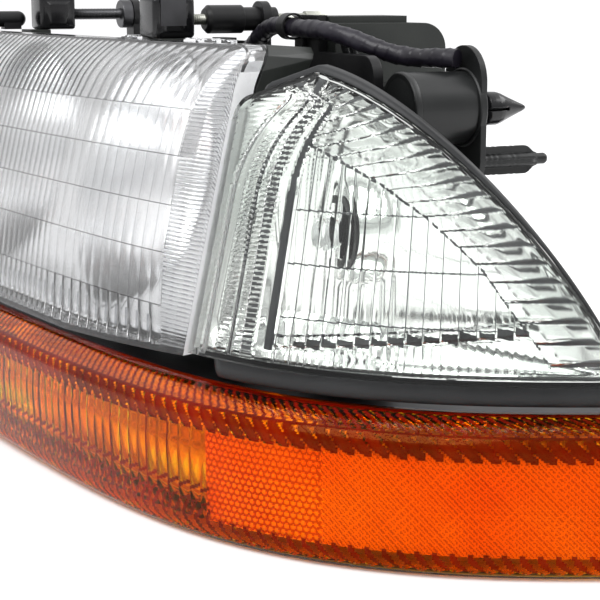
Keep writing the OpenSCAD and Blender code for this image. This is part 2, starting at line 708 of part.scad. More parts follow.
module reflex_insert() {
    reflex = function (i, j, d) behind(mix(186, 384, i / 20), d, mix(10, 54, j / 2));
    color(amber) in_frame() tray(20, 2,
        function (i, j) reflex(i, j, 4.6), function (i, j) reflex(i, j, 6.4),
        function (i, j) reflex(i, j, 5.2), function (i, j) reflex(i, j, 5.8));
}
module signal_bulb() { small_bulb(signal_bulb_at, 26, [1, 0.72, 0.3, 0.7]); }
module marker_bulb() { small_bulb(marker_bulb_at, 112, [1, 0.72, 0.3, 0.7]); }
module signal_socket() { twist_socket(signal_bulb_at, 62); }
module marker_socket() { twist_socket(marker_bulb_at, 148); }
module signal_screw_inboard() { screw(behind(signal_posts[0][0], signal_depth - 2, 0)[0], signal_posts[0][1], 22); }
module signal_screw_outboard() { screw(behind(signal_posts[1][0], signal_depth - 2, 0)[0], signal_posts[1][1], 22); }

// ---- Wiring ----

module wiring_harness() { color([0.1, 0.09, 0.13]) in_frame() tube(smooth(harness_route, 3), harness_d, 12); }
module corner_lead() { color(black) in_frame() tube(smooth(corner_route, 3), 4, 8); }
module signal_lead() { color(black) in_frame() tube(smooth(signal_route, 3), 4, 8); }
module harness_clip() {
    r = harness_d / 2 + 0.7;
    color(black) in_frame() {
        difference() {
            translate([304, 143.2, 224.3]) rotate([0, 90, 0]) cylinder(h = 8, r = r + 1);
            translate([300, 143.2, 224.3]) rotate([0, 90, 0]) cylinder(h = 16, r = r);
        }
        span([304, 147.7, 214], [312, panel_y - 0.1, 220.6]);
    }
}
module harness_connector() {
    color(black) in_frame() {
        span([206, 136, 199], [235.8, 149.8, 215]);
        span([212, 139, 214], [228, 147, 216.5]);
    }
}

mounting_panel();
carrier_arm();
side_bracket();
locating_pin();
pin_clip();
locating_post();
bolt_sleeve_inboard();
bolt_sleeve_outboard();
bolt_sleeve_lower();
side_nut();
height_nut();
pivot_stud();
corner_housing();
corner_reflector();
corner_lens();
corner_gasket();
corner_bulb();
corner_socket();
corner_screw_upper();
corner_screw_lower();
signal_housing();
signal_reflector();
signal_lens();
reflex_insert();
signal_gasket();
signal_bulb();
signal_socket();
marker_bulb();
marker_socket();
signal_screw_inboard();
signal_screw_outboard();
headlamp_housing();
headlamp_seal();
headlamp_lens();
headlamp_bezel();
low_reflector();
high_reflector();
low_bulb();
high_bulb();
low_shield();
high_shield();
low_ring();
high_ring();
low_o_ring();
high_o_ring();
vent_tube();
pivot_block();
side_block();
side_block_clip();
height_block();
pivot_cap();
side_cap();
side_screw();
height_cap();
height_screw();
wiring_harness();
corner_lead();
signal_lead();
harness_clip();
harness_connector();
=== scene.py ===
import json
import math

import bmesh
import bpy
import numpy as np
from mathutils import Euler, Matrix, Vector

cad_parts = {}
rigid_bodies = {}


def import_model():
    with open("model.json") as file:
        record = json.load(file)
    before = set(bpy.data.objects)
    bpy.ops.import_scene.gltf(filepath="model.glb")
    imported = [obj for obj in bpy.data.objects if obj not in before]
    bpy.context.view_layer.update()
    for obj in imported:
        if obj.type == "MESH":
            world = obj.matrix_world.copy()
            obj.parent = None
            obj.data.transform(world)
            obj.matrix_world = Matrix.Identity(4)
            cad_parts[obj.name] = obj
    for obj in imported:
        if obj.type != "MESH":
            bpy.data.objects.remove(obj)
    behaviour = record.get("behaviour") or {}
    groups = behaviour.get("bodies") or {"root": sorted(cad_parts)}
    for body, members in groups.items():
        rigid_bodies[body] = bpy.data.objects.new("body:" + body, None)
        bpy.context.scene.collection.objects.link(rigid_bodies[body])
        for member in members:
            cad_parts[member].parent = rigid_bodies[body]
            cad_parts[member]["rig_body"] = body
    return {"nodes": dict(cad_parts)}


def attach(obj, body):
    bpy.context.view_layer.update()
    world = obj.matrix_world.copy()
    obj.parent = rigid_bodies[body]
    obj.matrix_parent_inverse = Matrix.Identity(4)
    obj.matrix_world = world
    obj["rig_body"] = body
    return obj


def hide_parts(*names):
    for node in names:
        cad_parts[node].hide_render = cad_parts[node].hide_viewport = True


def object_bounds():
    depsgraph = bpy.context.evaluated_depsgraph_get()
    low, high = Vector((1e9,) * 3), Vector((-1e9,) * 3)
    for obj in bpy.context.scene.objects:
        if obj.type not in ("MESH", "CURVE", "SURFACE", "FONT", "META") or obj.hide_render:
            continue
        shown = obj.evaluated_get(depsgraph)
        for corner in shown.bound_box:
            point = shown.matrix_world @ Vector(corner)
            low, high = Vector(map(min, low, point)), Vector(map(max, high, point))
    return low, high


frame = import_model()
CAD_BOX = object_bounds()
NODES = frame["nodes"]
BODY_OF = {name: node["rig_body"] for name, node in NODES.items()}

# Layout of the CAD model, in millimetres: front -Y, outboard +X, up +Z
MM = 0.001
DATUM = np.array([400.0, 204.5, 187.0])
RAKE = 0.27
LOW_AT = (266, 145)
HIGH_AT = (112, 145)
SIDE_AT = (250, 98, 227)
PIVOT_AT = (40, 98, 227)
HEIGHT_AT = (40, 98, 92)
PIN_AT = (400, 187)
POST_AT = (400, 162)
DRUM_AT = (400, 188)

CAMERA_AT = (0.655, -0.4045, 0.0554)
CAMERA_TILT = 79.03
CAMERA_TURN = 65
CAMERA_LENS = 96
# Brightness of the surroundings from straight down, 0, past the horizon, 0.5, to straight up, 1
SKY_LEVELS = [(0.0, 0.8), (0.47, 0.95), (0.5, 1.05), (0.56, 0.95), (0.60, 0.5), (0.67, 0.8), (1.0, 1.3)]
FLOOR_GAP = 0.0005
FLOOR_REACH = 8


# ---- Camera, light and floor ----

def place_camera():
    """A long lens from the outboard front corner, a little above the lamp."""
    data = bpy.data.cameras.new("camera")
    data.lens = CAMERA_LENS
    data.sensor_width = 36
    camera = bpy.data.objects.new("camera", data)
    camera.location = CAMERA_AT
    camera.rotation_euler = Euler((math.radians(CAMERA_TILT), 0, math.radians(CAMERA_TURN)))
    bpy.context.scene.collection.objects.link(camera)
    bpy.context.scene.camera = camera


def area_light(name, place, aim, size, power):
    """A white rectangular light that faces a point."""
    data = bpy.data.lights.new(name, "AREA")
    data.shape = "RECTANGLE"
    data.size, data.size_y = size
    data.energy = power
    light = bpy.data.objects.new(name, data)
    light.location = place
    light.rotation_euler = (Vector(aim) - Vector(place)).to_track_quat("-Z", "Y").to_euler()
    bpy.context.scene.collection.objects.link(light)


def studio():
    """White surroundings with a darker band above the horizon, and two large soft lights."""
    scene = bpy.context.scene
    scene.view_settings.view_transform = "Standard"
    scene.world = bpy.data.worlds.new("studio")
    scene.world.use_nodes = True
    nodes, links = scene.world.node_tree.nodes, scene.world.node_tree.links
    coord = nodes.new("ShaderNodeTexCoord")
    split = nodes.new("ShaderNodeSeparateXYZ")
    links.new(coord.outputs["Generated"], split.inputs[0])
    height = nodes.new("ShaderNodeMapRange")
    height.inputs["From Min"].default_value = -1
    links.new(split.outputs["Z"], height.inputs["Value"])
    stops = [(at, (level, level, level * 1.01)) for at, level in SKY_LEVELS]
    links.new(ramp(nodes, links, height.outputs[0], stops), nodes["Background"].inputs["Color"])
    nodes["Background"].inputs["Strength"].default_value = 1.0
    area_light("key", (0.6, -1.2, 1.6), (0, -0.1, 0), (1.6, 1.2), 30)
    area_light("rim", (0.2, 1.4, 1.2), (0, 0, 0), (1.6, 0.8), 14)


def lay_floor():
    """A plain pale floor just below the lamp."""
    low = CAD_BOX[0].z - FLOOR_GAP
    mesh = bpy.data.meshes.new("floor")
    r = FLOOR_REACH
    mesh.from_pydata([(-r, -r, low), (r, -r, low), (r, r, low), (-r, r, low)], [], [(0, 1, 2, 3)])
    floor = bpy.data.objects.new("floor", mesh)
    bpy.context.scene.collection.objects.link(floor)
    material, nodes, _ = shader_of("floor")
    shader = nodes["Principled BSDF"]
    shader.inputs["Base Color"].default_value = (0.96, 0.96, 0.96, 1)
    shader.inputs["Roughness"].default_value = 0.9
    shader.inputs["Emission Color"].default_value = (1, 1, 1, 1)
    shader.inputs["Emission Strength"].default_value = 0.08
    mesh.materials.append(material)


# ---- Materials ----

BRIGHT_RIPPLE = {"scale": 40, "depth": 0.002}
CLEAR_RIPPLE = {"scale": 45, "strength": 0.02, "depth": 0.001}
GRAIN_DEPTH = 0.0002


def shader_of(name):
    """A new node material, with its nodes and links."""
    material = bpy.data.materials.new(name)
    material.use_nodes = True
    return material, material.node_tree.nodes, material.node_tree.links


def noise(nodes, links, scale, detail=4):
    """A noise node in object space."""
    coord = nodes.new("ShaderNodeTexCoord")
    texture = nodes.new("ShaderNodeTexNoise")
    texture.inputs["Scale"].default_value = scale
    texture.inputs["Detail"].default_value = detail
    links.new(coord.outputs["Object"], texture.inputs["Vector"])
    return texture.outputs["Fac"]


def ramp(nodes, links, source, stops):
    """Colours for a value, from (value, colour) pairs."""
    node = nodes.new("ShaderNodeValToRGB")
    while len(node.color_ramp.elements) < len(stops):
        node.color_ramp.elements.new(0.5)
    for element, (at, colour) in zip(node.color_ramp.elements, stops):
        element.position = at
        element.color = (*colour, 1)
    links.new(source, node.inputs[0])
    return node.outputs["Color"]


def spread(nodes, links, source, low, high):
    """A value from 0 to 1 spread over another range."""
    node = nodes.new("ShaderNodeMapRange")
    node.inputs["To Min"].default_value = low
    node.inputs["To Max"].default_value = high
    links.new(source, node.inputs["Value"])
    return node.outputs[0]


def bump(nodes, links, shader, source, strength, distance, rounding=0):
    """Bump from a texture; rounding softens the light along sharp edges over that radius."""
    node = nodes.new("ShaderNodeBump")
    node.inputs["Strength"].default_value = strength
    node.inputs["Distance"].default_value = distance
    links.new(source, node.inputs["Height"])
    if rounding:
        edge = nodes.new("ShaderNodeBevel")
        edge.samples = 4
        edge.inputs["Radius"].default_value = rounding
        links.new(edge.outputs[0], node.inputs["Normal"])
    links.new(node.outputs[0], shader.inputs["Normal"])


def varied(name, dark, light, rough, shade, polish):
    """A material whose colour and roughness each vary over their range by a noise of their own.
    shade is its noise's scale and where each colour is reached; polish is its noise's scale and detail."""
    material, nodes, links = shader_of(name)
    shader = nodes["Principled BSDF"]
    scale, low, high = shade
    colour = ramp(nodes, links, noise(nodes, links, scale), [(low, dark), (high, light)])
    links.new(colour, shader.inputs["Base Color"])
    links.new(spread(nodes, links, noise(nodes, links, *polish), *rough), shader.inputs["Roughness"])
    return material, nodes, links, shader


def moulding(name, dark, light, rough, specular=0.5, grain=900, lift=0.25, rounding=0.0008):
    """Moulded plastic: a fine grain, a slow change of shade and a few rubbed places."""
    material, nodes, links, shader = varied(name, dark, light, rough, (30, 0.3, 0.7), (60, 6))
    shader.inputs["Specular IOR Level"].default_value = specular
    bump(nodes, links, shader, noise(nodes, links, grain, 3), lift, GRAIN_DEPTH, rounding)
    return material


def facet(name, dark, light, rough, grain, lift, specular=0.5):
    """Opaque plastic for the fine facets of a lens, whose edges stay crisp; it also makes the painted shade
    and painted highlights on a lens's facets.
    """
    return moulding(name, dark, light, rough, specular, grain, lift, rounding=0)


def bright_metal(name, dark, light, rough, strength=0.02, grain=None):
    """Unevenly polished metal: fine-grained where grain is given, else slightly rippled."""
    material, nodes, links, shader = varied(name, dark, light, rough, (25, 0.35, 0.65), (180, 5))
    shader.inputs["Metallic"].default_value = 1
    scale = grain if grain else BRIGHT_RIPPLE["scale"]
    depth = GRAIN_DEPTH if grain else BRIGHT_RIPPLE["depth"]
    bump(nodes, links, shader, noise(nodes, links, scale, 2), strength, depth)
    return material


def clear_plastic(name, dark, light, rough, ior=1.5, specular=0.5, sheen=(1, 1, 1)):
    """See-through plastic or glass, whose tint and polish vary a little."""
    material, nodes, links, shader = varied(name, dark, light, rough, (18, 0.35, 0.65), (120, 4))
    shader.inputs["Transmission Weight"].default_value = 1
    shader.inputs["Specular IOR Level"].default_value = specular
    shader.inputs["Specular Tint"].default_value = (*sheen, 1)
    shader.inputs["IOR"].default_value = ior
    ripple = noise(nodes, links, CLEAR_RIPPLE["scale"], 2)
    bump(nodes, links, shader, ripple, CLEAR_RIPPLE["strength"], CLEAR_RIPPLE["depth"])
    return material


# Each material's name, darker and lighter colour, and range of roughness, then what its maker adds
MAT = {
    "black": moulding("black_moulding", (0.003, 0.003, 0.0035), (0.009, 0.009, 0.0095), (0.3, 0.46), 0.32),
    "gloss": moulding("gloss_black", (0.003, 0.003, 0.0035), (0.008, 0.008, 0.009), (0.12, 0.26),
                      0.4, 500, 0.08),
    "grey": moulding("grey_moulding", (0.012, 0.014, 0.0125), (0.024, 0.027, 0.024), (0.32, 0.48), 0.35),
    "drum": moulding("drum_black", (0.006, 0.0065, 0.0065), (0.013, 0.014, 0.014), (0.28, 0.42),
                     0.35, 700, 0.15),
    "seal": moulding("rubber_seal", (0.004, 0.0045, 0.005), (0.018, 0.019, 0.02), (0.3, 0.6),
                     0.35, 420, 0.8),
    "tape": moulding("tape_wrap", (0.005, 0.004, 0.007), (0.014, 0.012, 0.019), (0.25, 0.45),
                     0.4, 350, 0.6),
    "acetal": moulding("acetal", (0.62, 0.60, 0.54), (0.72, 0.70, 0.65), (0.3, 0.45), 0.5, 600, 0.08),
    "reflex": facet("reflex_amber", (0.95, 0.40, 0.03), (1.0, 0.62, 0.08), (0.15, 0.3), 700, 0.1),
    # Painted highlights on the reflex pyramids' tips
    "reflex_highlight": facet("painted_reflex_highlight", (1.0, 0.95, 0.15), (1.0, 1.0, 0.3), (0.1, 0.2), 700, 0.1),
    # Painted shade on the reflex weave's threads and between the pyramids
    "weave": facet("painted_reflex_shade", (0.50, 0.10, 0.006), (0.64, 0.18, 0.012), (0.2, 0.4), 700, 0.1),
    "frost": facet("frosted_edge", (0.84, 0.85, 0.86), (0.95, 0.955, 0.96), (0.2, 0.35), 500, 0.2),
    # Painted dark shade on the corner lens's fin sides and cups
    "dark_shade": facet("painted_dark_shade", (0.02, 0.021, 0.022), (0.13, 0.135, 0.14), (0.1, 0.3), 300, 0.3),
    # Painted dark red shade on the amber lens's lobes, leaves, ribs, stripes and facets
    "amber_shade": facet("painted_amber_shade", (0.10, 0.004, 0.002), (0.30, 0.014, 0.003), (0.15, 0.3), 300, 0.2, 0.12),
    # Painted grey shade on the corner lens's bands, steps and joints
    "grey_shade": facet("painted_grey_shade", (0.05, 0.052, 0.056), (0.11, 0.115, 0.12), (0.25, 0.4), 500, 0.2),
    "chrome": bright_metal("bright_reflector", (0.88, 0.89, 0.89), (0.96, 0.96, 0.96), (0.08, 0.16)),
    "bowl": bright_metal("satin_reflector", (0.93, 0.935, 0.94), (0.98, 0.98, 0.98), (0.16, 0.28)),
    "zinc": bright_metal("zinc_steel", (0.42, 0.43, 0.38), (0.62, 0.62, 0.57), (0.28, 0.46), 0.3, 600),
    "shield": bright_metal("shield_metal", (0.84, 0.84, 0.85), (0.93, 0.93, 0.93), (0.25, 0.4), 0.2, 500),
    "phosphate": bright_metal("dark_steel", (0.05, 0.05, 0.052), (0.10, 0.10, 0.105), (0.3, 0.5), 0.3, 600),
    "clear": clear_plastic("clear_lens", (0.98, 0.985, 0.99), (1.0, 1.0, 1.0), (0.08, 0.12)),
    "corner": clear_plastic("corner_clear", (0.92, 0.955, 0.92), (0.965, 0.98, 0.955), (0.01, 0.03)),
    # Grey see-through plastic that paints shade lines on the headlamp lens's flutes and ribs
    "line_shade": clear_plastic("painted_line_shade", (0.20, 0.21, 0.23), (0.44, 0.45, 0.47), (0.12, 0.25)),
    "glass": clear_plastic("bulb_glass", (0.95, 0.96, 0.97), (0.99, 0.99, 1.0), (0.0, 0.02)),
    "amber_bulb": clear_plastic("amber_bulb", (0.9, 0.35, 0.03), (1.0, 0.45, 0.06), (0.02, 0.06)),
    "amber": clear_plastic("amber_lens", (1.0, 0.36, 0.002), (1.0, 0.44, 0.004), (0.04, 0.09),
                           1.27, 0.05, (1.0, 0.45, 0.12)),
    # Yellow see-through plastic that paints highlights on some of the amber lens's facets
    "amber_highlight": clear_plastic("painted_amber_highlight", (1.0, 0.62, 0.0), (1.0, 0.74, 0.004), (0.06, 0.14),
                            1.27, 0.2, (1.0, 0.7, 0.2)),
}

PAINT = {
    "black": ["mounting_panel", "side_nut", "height_nut", "corner_housing", "signal_housing", "vent_tube",
              "low_ring", "high_ring", "corner_socket", "signal_socket", "marker_socket", "harness_clip",
              "harness_connector", "height_block"],
    "gloss": ["side_block", "pivot_block", "locating_pin", "pin_clip"],
    "drum": ["side_bracket", "locating_post"],
    "grey": ["carrier_arm", "headlamp_housing"],
    "seal": ["headlamp_seal", "corner_gasket", "signal_gasket", "low_o_ring", "high_o_ring", "corner_lead",
             "signal_lead"],
    "acetal": ["pivot_cap", "side_cap", "height_cap"],
    "bowl": ["headlamp_bezel", "low_reflector", "high_reflector"],
    "chrome": ["corner_reflector", "signal_reflector"],
    "phosphate": ["pivot_stud", "side_block_clip"],
    "zinc": ["bolt_sleeve_inboard", "bolt_sleeve_outboard", "bolt_sleeve_lower", "side_screw",
             "height_screw", "corner_screw_upper", "corner_screw_lower", "signal_screw_inboard",
             "signal_screw_outboard"],
    "shield": ["low_shield", "high_shield"],
    "clear": ["headlamp_lens"],
    "corner": ["corner_lens"],
    "amber": ["signal_lens", "reflex_insert"],
    "glass": ["low_bulb", "high_bulb", "corner_bulb"],
    "amber_bulb": ["signal_bulb", "marker_bulb"],
    "tape": ["wiring_harness"],
}


def paint_nodes():
    """Gives each CAD node its own material."""
    for key, names in PAINT.items():
        for name in names:
            mesh = NODES[name].data
            mesh.materials.clear()
            mesh.materials.append(MAT[key])


# ---- Mesh helpers ----

def add_mesh(name, points, faces, material, body, stands_for=(), sharp=30, others=(), which=None):
    """Makes a piece from row-frame points in metres, shades it and hangs it on its body.
    others are further materials, and which gives each of the first faces' place in the list of materials."""
    mesh = bpy.data.meshes.new(name)
    mesh.from_pydata(np.asarray(points).tolist(), [], [tuple(int(k) for k in f) for f in faces])
    work = bmesh.new()
    work.from_mesh(mesh)
    bmesh.ops.recalc_face_normals(work, faces=work.faces)
    work.to_mesh(mesh)
    work.free()
    mesh.polygons.foreach_set("use_smooth", [True] * len(mesh.polygons))
    mesh.set_sharp_from_angle(angle=math.radians(sharp))
    for key in (material, *others):
        mesh.materials.append(MAT[key])
    if which is not None:
        index = np.zeros(len(mesh.polygons), int)
        index[:len(which)] = which
        mesh.polygons.foreach_set("material_index", index.tolist())
    piece = bpy.data.objects.new(name, mesh)
    bpy.context.scene.collection.objects.link(piece)
    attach(piece, body)
    if stands_for:
        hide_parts(*stands_for)
    return piece


def border(ni, nj):
    """Grid places round the border, in order."""
    return ([(i, 0) for i in range(ni - 1)] + [(ni - 1, j) for j in range(nj - 1)]
            + [(i, nj - 1) for i in range(ni - 1, 0, -1)] + [(0, j) for j in range(nj - 1, 0, -1)])


def shell(front, back, rims):
    """A closed solid from two skins over one grid, joined round their borders through the rims' grids."""
    ni, nj = front.shape[:2]
    edge = border(ni, nj)
    index = np.arange(ni * nj).reshape(ni, nj)
    a, b = index[:-1, :-1].ravel(), index[1:, :-1].ravel()
    c, d = index[1:, 1:].ravel(), index[:-1, 1:].ravel()
    quads = np.stack([a, b, c, d], 1)
    points = [front.reshape(-1, 3)]
    count = ni * nj
    loops = [[int(index[e]) for e in edge]]
    for rim in rims:
        points.append(np.array([rim[e] for e in edge]))
        loops.append(list(range(count, count + len(edge))))
        count += len(edge)
    points.append(back.reshape(-1, 3))
    loops.append([count + int(index[e]) for e in edge])
    faces = quads.tolist() + (quads[:, ::-1] + count).tolist()
    for first, second in zip(loops, loops[1:]):
        for k in range(len(edge)):
            m = (k + 1) % len(edge)
            faces.append((first[k], first[m], second[m], second[k]))
    return np.concatenate(points), faces


def ease_steps(count):
    """Steps from 0 to 1 that are closer together at both ends."""
    return 0.5 - 0.5 * np.cos(np.linspace(0, math.pi, count))


def ring_faces(rings, turns, closed=False):
    """Faces between neighbouring rings of points, and from the last ring to the first where closed."""
    faces = []
    for i in range(rings if closed else rings - 1):
        near, far = i * turns, (i + 1) % rings * turns
        faces += [(near + k, near + (k + 1) % turns, far + (k + 1) % turns, far + k) for k in range(turns)]
    return faces


def closed_bead(loops):
    """A closed ring of tube-like section, from loops of points that run round it side by side."""
    return np.concatenate(loops), ring_faces(len(loops), len(loops[0]), True)


def middles(grid):
    """Values at the middles of a grid's cells."""
    return (grid[:-1, :-1] + grid[1:, :-1] + grid[1:, 1:] + grid[:-1, 1:]) / 4


def marked(cells, walls=0, side=None, mark=0):
    """Material places for a shell whose back skin is marked cell by cell.
    walls is how many rings of faces join the skins, and side says which end of the rings takes the mark."""
    places = [np.zeros(cells.size, int), cells.ravel().astype(int)]
    ni, nj = cells.shape
    ring = np.zeros(2 * (ni + nj), int)
    if side == "low":
        ring[2 * ni + nj:] = mark
    elif side == "high":
        ring[ni:ni + nj] = mark
    return np.concatenate(places + [ring] * walls)


# ---- The lamp's front curve ----

def heading(s):
    """Direction of the front curve, which turns from across the car to along it."""
    return np.radians(7 + 66 / (1 + np.exp(-(s - 245) / 58)))


CURVE_STEP = 4.0
CURVE_ORIGIN = (237, 6)
CURVE_S = np.arange(-240.0, 425.0, CURVE_STEP)
CURVE_WAY = heading(CURVE_S[:-1] + CURVE_STEP / 2)
CURVE_X = np.concatenate([[0], np.cumsum(CURVE_STEP * np.cos(CURVE_WAY))])
CURVE_Y = np.concatenate([[0], np.cumsum(CURVE_STEP * np.sin(CURVE_WAY))])
CURVE_X += CURVE_ORIGIN[0] - np.interp(0, CURVE_S, CURVE_X)
CURVE_Y += CURVE_ORIGIN[1] - np.interp(0, CURVE_S, CURVE_Y)


def behind(s, d, z):
    """Row-frame points at distance s along the front curve, d behind it and at height z, all in mm."""
    s, d, z = np.broadcast_arrays(s, d, z)
    x = np.interp(s, CURVE_S, CURVE_X) - d * np.sin(heading(s))
    y = np.interp(s, CURVE_S, CURVE_Y) + d * np.cos(heading(s))
    return (np.stack([x, y, z], -1) - DATUM) * MM


def mix(a, b, t):
    return a + (b - a) * t


def clamp01(x):
    return np.clip(x, 0, 1)


def ease(lower, upper, x):
    t = clamp01((x - lower) / (upper - lower))
    return t * t * (3 - 2 * t)


def corner_drop(x, r):
    """How far a rounded corner of radius r drops at a distance x from its end."""
    x = np.minimum(x, r)
    return r - np.sqrt(np.maximum(0, r * r - (r - x) ** 2))


def frac(x):
    return x - np.floor(x)


def lobe(x):
    """One round flute for each unit of x: 0 at the joints, 1 in the middle."""
    return 4 * frac(x) * (1 - frac(x))


# ---- Headlamp lens: s runs along the front curve, z is height, x is distance in from the fluted edge ----

HEAD_S = (-222.0, 151.5)
HEAD_BOTTOM = 71
HEAD_TOP = 217
HEAD_BACK = 3.4
HEAD_RIM = 12
LENS_WALL = 2.2
FLUTE_EDGE_Z = [69, 80, 95, 120, 141, 164, 186, 196, 205, 212, 217]
FLUTE_EDGE_S = [132, 130, 124, 117, 115, 114, 117, 123, 130, 137, 141]
FLUTE_HEIGHTS = [0.5, 0.16, 0.12, 0.14, 0.12, 0.3]
HEAD_ROWS = [95, 119, 141, 164, 186]
LEVEL_ROWS = (82.0, 196.0)
ROW_GAP = 0.14
WIDE_COUNT = 12
WIDE_PITCH = 10.3
WIDE_END = 123.6
NARROW_COUNT = 25
NARROW_PITCH = 7
FAR_COLUMNS = 15
RETURN_RIB = 2.05


def head_d(z):
    return 20 + RAKE * (z - 72) + 0.02 * np.maximum(0, z - 196) ** 2


def head_z0(s):
    return HEAD_BOTTOM + 5.5 * clamp01((s - 40) / 110)


def head_z1(s):
    return HEAD_TOP - corner_drop(np.minimum(s - HEAD_S[0], HEAD_S[1] - s), 12)


def flute_edge(z):
    """Where the main field's outboard edge stands at a height."""
    return np.interp(z, FLUTE_EDGE_Z, FLUTE_EDGE_S)


def flute_count(x):
    """Flutes between the field's edge and a distance inboard of it: wide ones, then narrow ones."""
    return np.where(x < WIDE_END, x / WIDE_PITCH, WIDE_COUNT + (x - WIDE_END) / NARROW_PITCH)


def head_relief(s, z):
    """Height of the flutes on the inside of the headlamp lens's main field."""
    x = flute_edge(z) - s
    count = flute_count(x)
    tier = np.searchsorted(HEAD_ROWS, z)
    height = np.array(FLUTE_HEIGHTS)[tier] * np.where(x < WIDE_END, 1, 0.8)
    low = np.array([FLUTE_EDGE_Z[0], *HEAD_ROWS])[tier]
    high = np.array([*HEAD_ROWS, HEAD_TOP])[tier]
    tilt = 0.35 * (z - low) / (high - low)
    arch = 0.9 * ease(94, 80, z) * lobe(count)
    jewels = 0.5 * lobe(count * 2) * lobe(z / 3.5) * ease(81, 79, z)
    return height * lobe(count) + tilt + arch + jewels


def head_marks(s, z):
    """Painted shade lines along the flutes' joints and steps, which widen between the arches at the bottom.
    """
    x = flute_edge(z) - s
    off = np.abs(frac(flute_count(x) + 0.5) - 0.5)
    width = 0.028 + 0.17 * ease(95, 84, z) * ease(77, 84, z)
    steps = np.min([np.abs(z - row) for row in HEAD_ROWS], axis=0) < 0.22
    return ((off < width) | steps) & (x > 3) & (x < 298)


def return_relief(s, z):
    """Fine level ribs on the lens's outboard return."""
    return 0.16 * lobe(z / RETURN_RIB) + 0.2


def return_marks(z):
    """Painted shade lines along the return's ribs."""
    return frac(z / RETURN_RIB + 0.1) < 0.22


def flute_columns():
    """Distances inboard of the field's edge: seven across each flute, with a close pair at every joint."""
    wide = np.arange(WIDE_COUNT + 1) * WIDE_PITCH
    narrow = WIDE_END + NARROW_PITCH * np.arange(1, NARROW_COUNT + 1)
    joints = np.concatenate([wide, narrow])
    inner = [np.linspace(a + 0.2, b - 0.2, 7) for a, b in zip(joints, joints[1:])]
    return np.concatenate([[0], *inner, [joints[-1]]])


def field_heights(s, inset):
    """Rows of the main field: level in the middle with a close pair at each step, spread below and above."""
    lowest, highest = LEVEL_ROWS
    starts = [lowest, *[row + ROW_GAP for row in HEAD_ROWS]]
    ends = [*[row - ROW_GAP for row in HEAD_ROWS], highest]
    level = [np.linspace(start, end, 22) for start, end in zip(starts, ends)]
    bottom = mix(head_z0(s) + inset, lowest, np.linspace(0, 1, 16)[None, :-1])
    middle = np.concatenate(level)[None, :] + 0 * s
    top = mix(highest, head_z1(s) - inset, np.linspace(0, 1, 20)[None, 1:])
    return np.concatenate([bottom, middle, top], 1)


def rows_for(s, inset):
    """Heights for a whole grid of places, each from the rows at its own place."""
    return np.stack([field_heights(s[:, j:j + 1], inset)[:, j] for j in range(s.shape[1])], 1)


def lens_solid(surface, face_d, thick, rim, relief):
    """A lens with a smooth front, relief behind and a rim round it. It also gives the back's grid.
    surface gives the outline's grid for an inset, and face_d the front's depth for a height."""
    s, z = surface(0)
    front = behind(s, face_d(z), z)
    rim_a = behind(s, face_d(z) + rim, z)
    s, z = surface(LENS_WALL)
    back = behind(s, face_d(z) + thick - relief(s, z), z)
    rim_b = behind(s, face_d(z) + rim, z)
    points, faces = shell(front, back, [rim_a, rim_b])
    return points, faces, s, z


def make_head_field():
    """The fluted part of the headlamp lens, on a grid that follows the flutes' joints."""
    x = flute_columns()[::-1]
    share = np.linspace(1, 0, FAR_COLUMNS + 1)[:-1, None]

    def surface(inset):
        s = np.linspace(HEAD_S[0] + inset, 120, len(x) + FAR_COLUMNS)[:, None]
        z = field_heights(s, inset)
        for _ in range(3):
            edge = flute_edge(z)
            far = mix(edge[:FAR_COLUMNS] - x[0], HEAD_S[0] + inset, share)
            s = np.concatenate([far, edge[FAR_COLUMNS:] - x[:, None]], 0)
            z = rows_for(s, inset)
        return s, z

    points, faces, s, z = lens_solid(surface, head_d, HEAD_BACK, HEAD_RIM, head_relief)
    # The marked cells of the back skin take grey painted shade lines
    cells = head_marks(middles(s), middles(z))
    add_mesh("headlamp_lens_field", points, faces, "clear", "headlamp", ["headlamp_lens"], 8,
             ["line_shade", "frost"], marked(cells, 3))


def make_head_return():
    """The ribbed return between the fluted part and the lens's frosted outboard edge."""
    a = np.linspace(0, 1, 12)[:, None]
    b = np.linspace(0, 1, 400)[None, :]

    def surface(inset):
        outboard = HEAD_S[1] - inset
        s = mix(flute_edge(mix(HEAD_BOTTOM, HEAD_TOP, b)), outboard, a)
        z = mix(head_z0(s) + inset, head_z1(s) - inset, b)
        return mix(flute_edge(z), outboard, a), z

    points, faces, s, z = lens_solid(surface, head_d, HEAD_BACK, HEAD_RIM, return_relief)
    # The marked cells of the back skin take grey painted shade lines
    cells = return_marks(middles(z))
    add_mesh("headlamp_lens_return", points, faces, "clear", "headlamp", (), 8,
             ["line_shade", "frost"], marked(cells, 3, "high", 2))


def lathe(name, centre, profile, material, body, turns=64):
    """A round piece about an axis along +Y, from (radius, y) pairs in mm that run round its section."""
    angle = np.linspace(0, 2 * math.pi, turns, endpoint=False)
    loops = [np.stack([(centre[0] + r * np.cos(angle) - DATUM[0]) * MM, np.full(turns, (y - DATUM[1]) * MM),
                       (centre[1] + r * np.sin(angle) - DATUM[2]) * MM], 1) for r, y in profile]
    points, faces = closed_bead(loops)
    add_mesh(name, points, faces, material, body, sharp=35)


def make_bulb_collars():
    """Bright metal collars that close the reflectors' holes round the bulbs."""
    profile = [(6.4, 150), (7.6, 150.4), (8.2, 160), (15.2, 162.2), (15.2, 163.2), (7.6, 163.2),
               (6.4, 160)]
    for name, at in (("low_bulb_collar", LOW_AT), ("high_bulb_collar", HIGH_AT)):
        lathe(name, at, profile, "bowl", "headlamp")


# ---- Corner lens ----

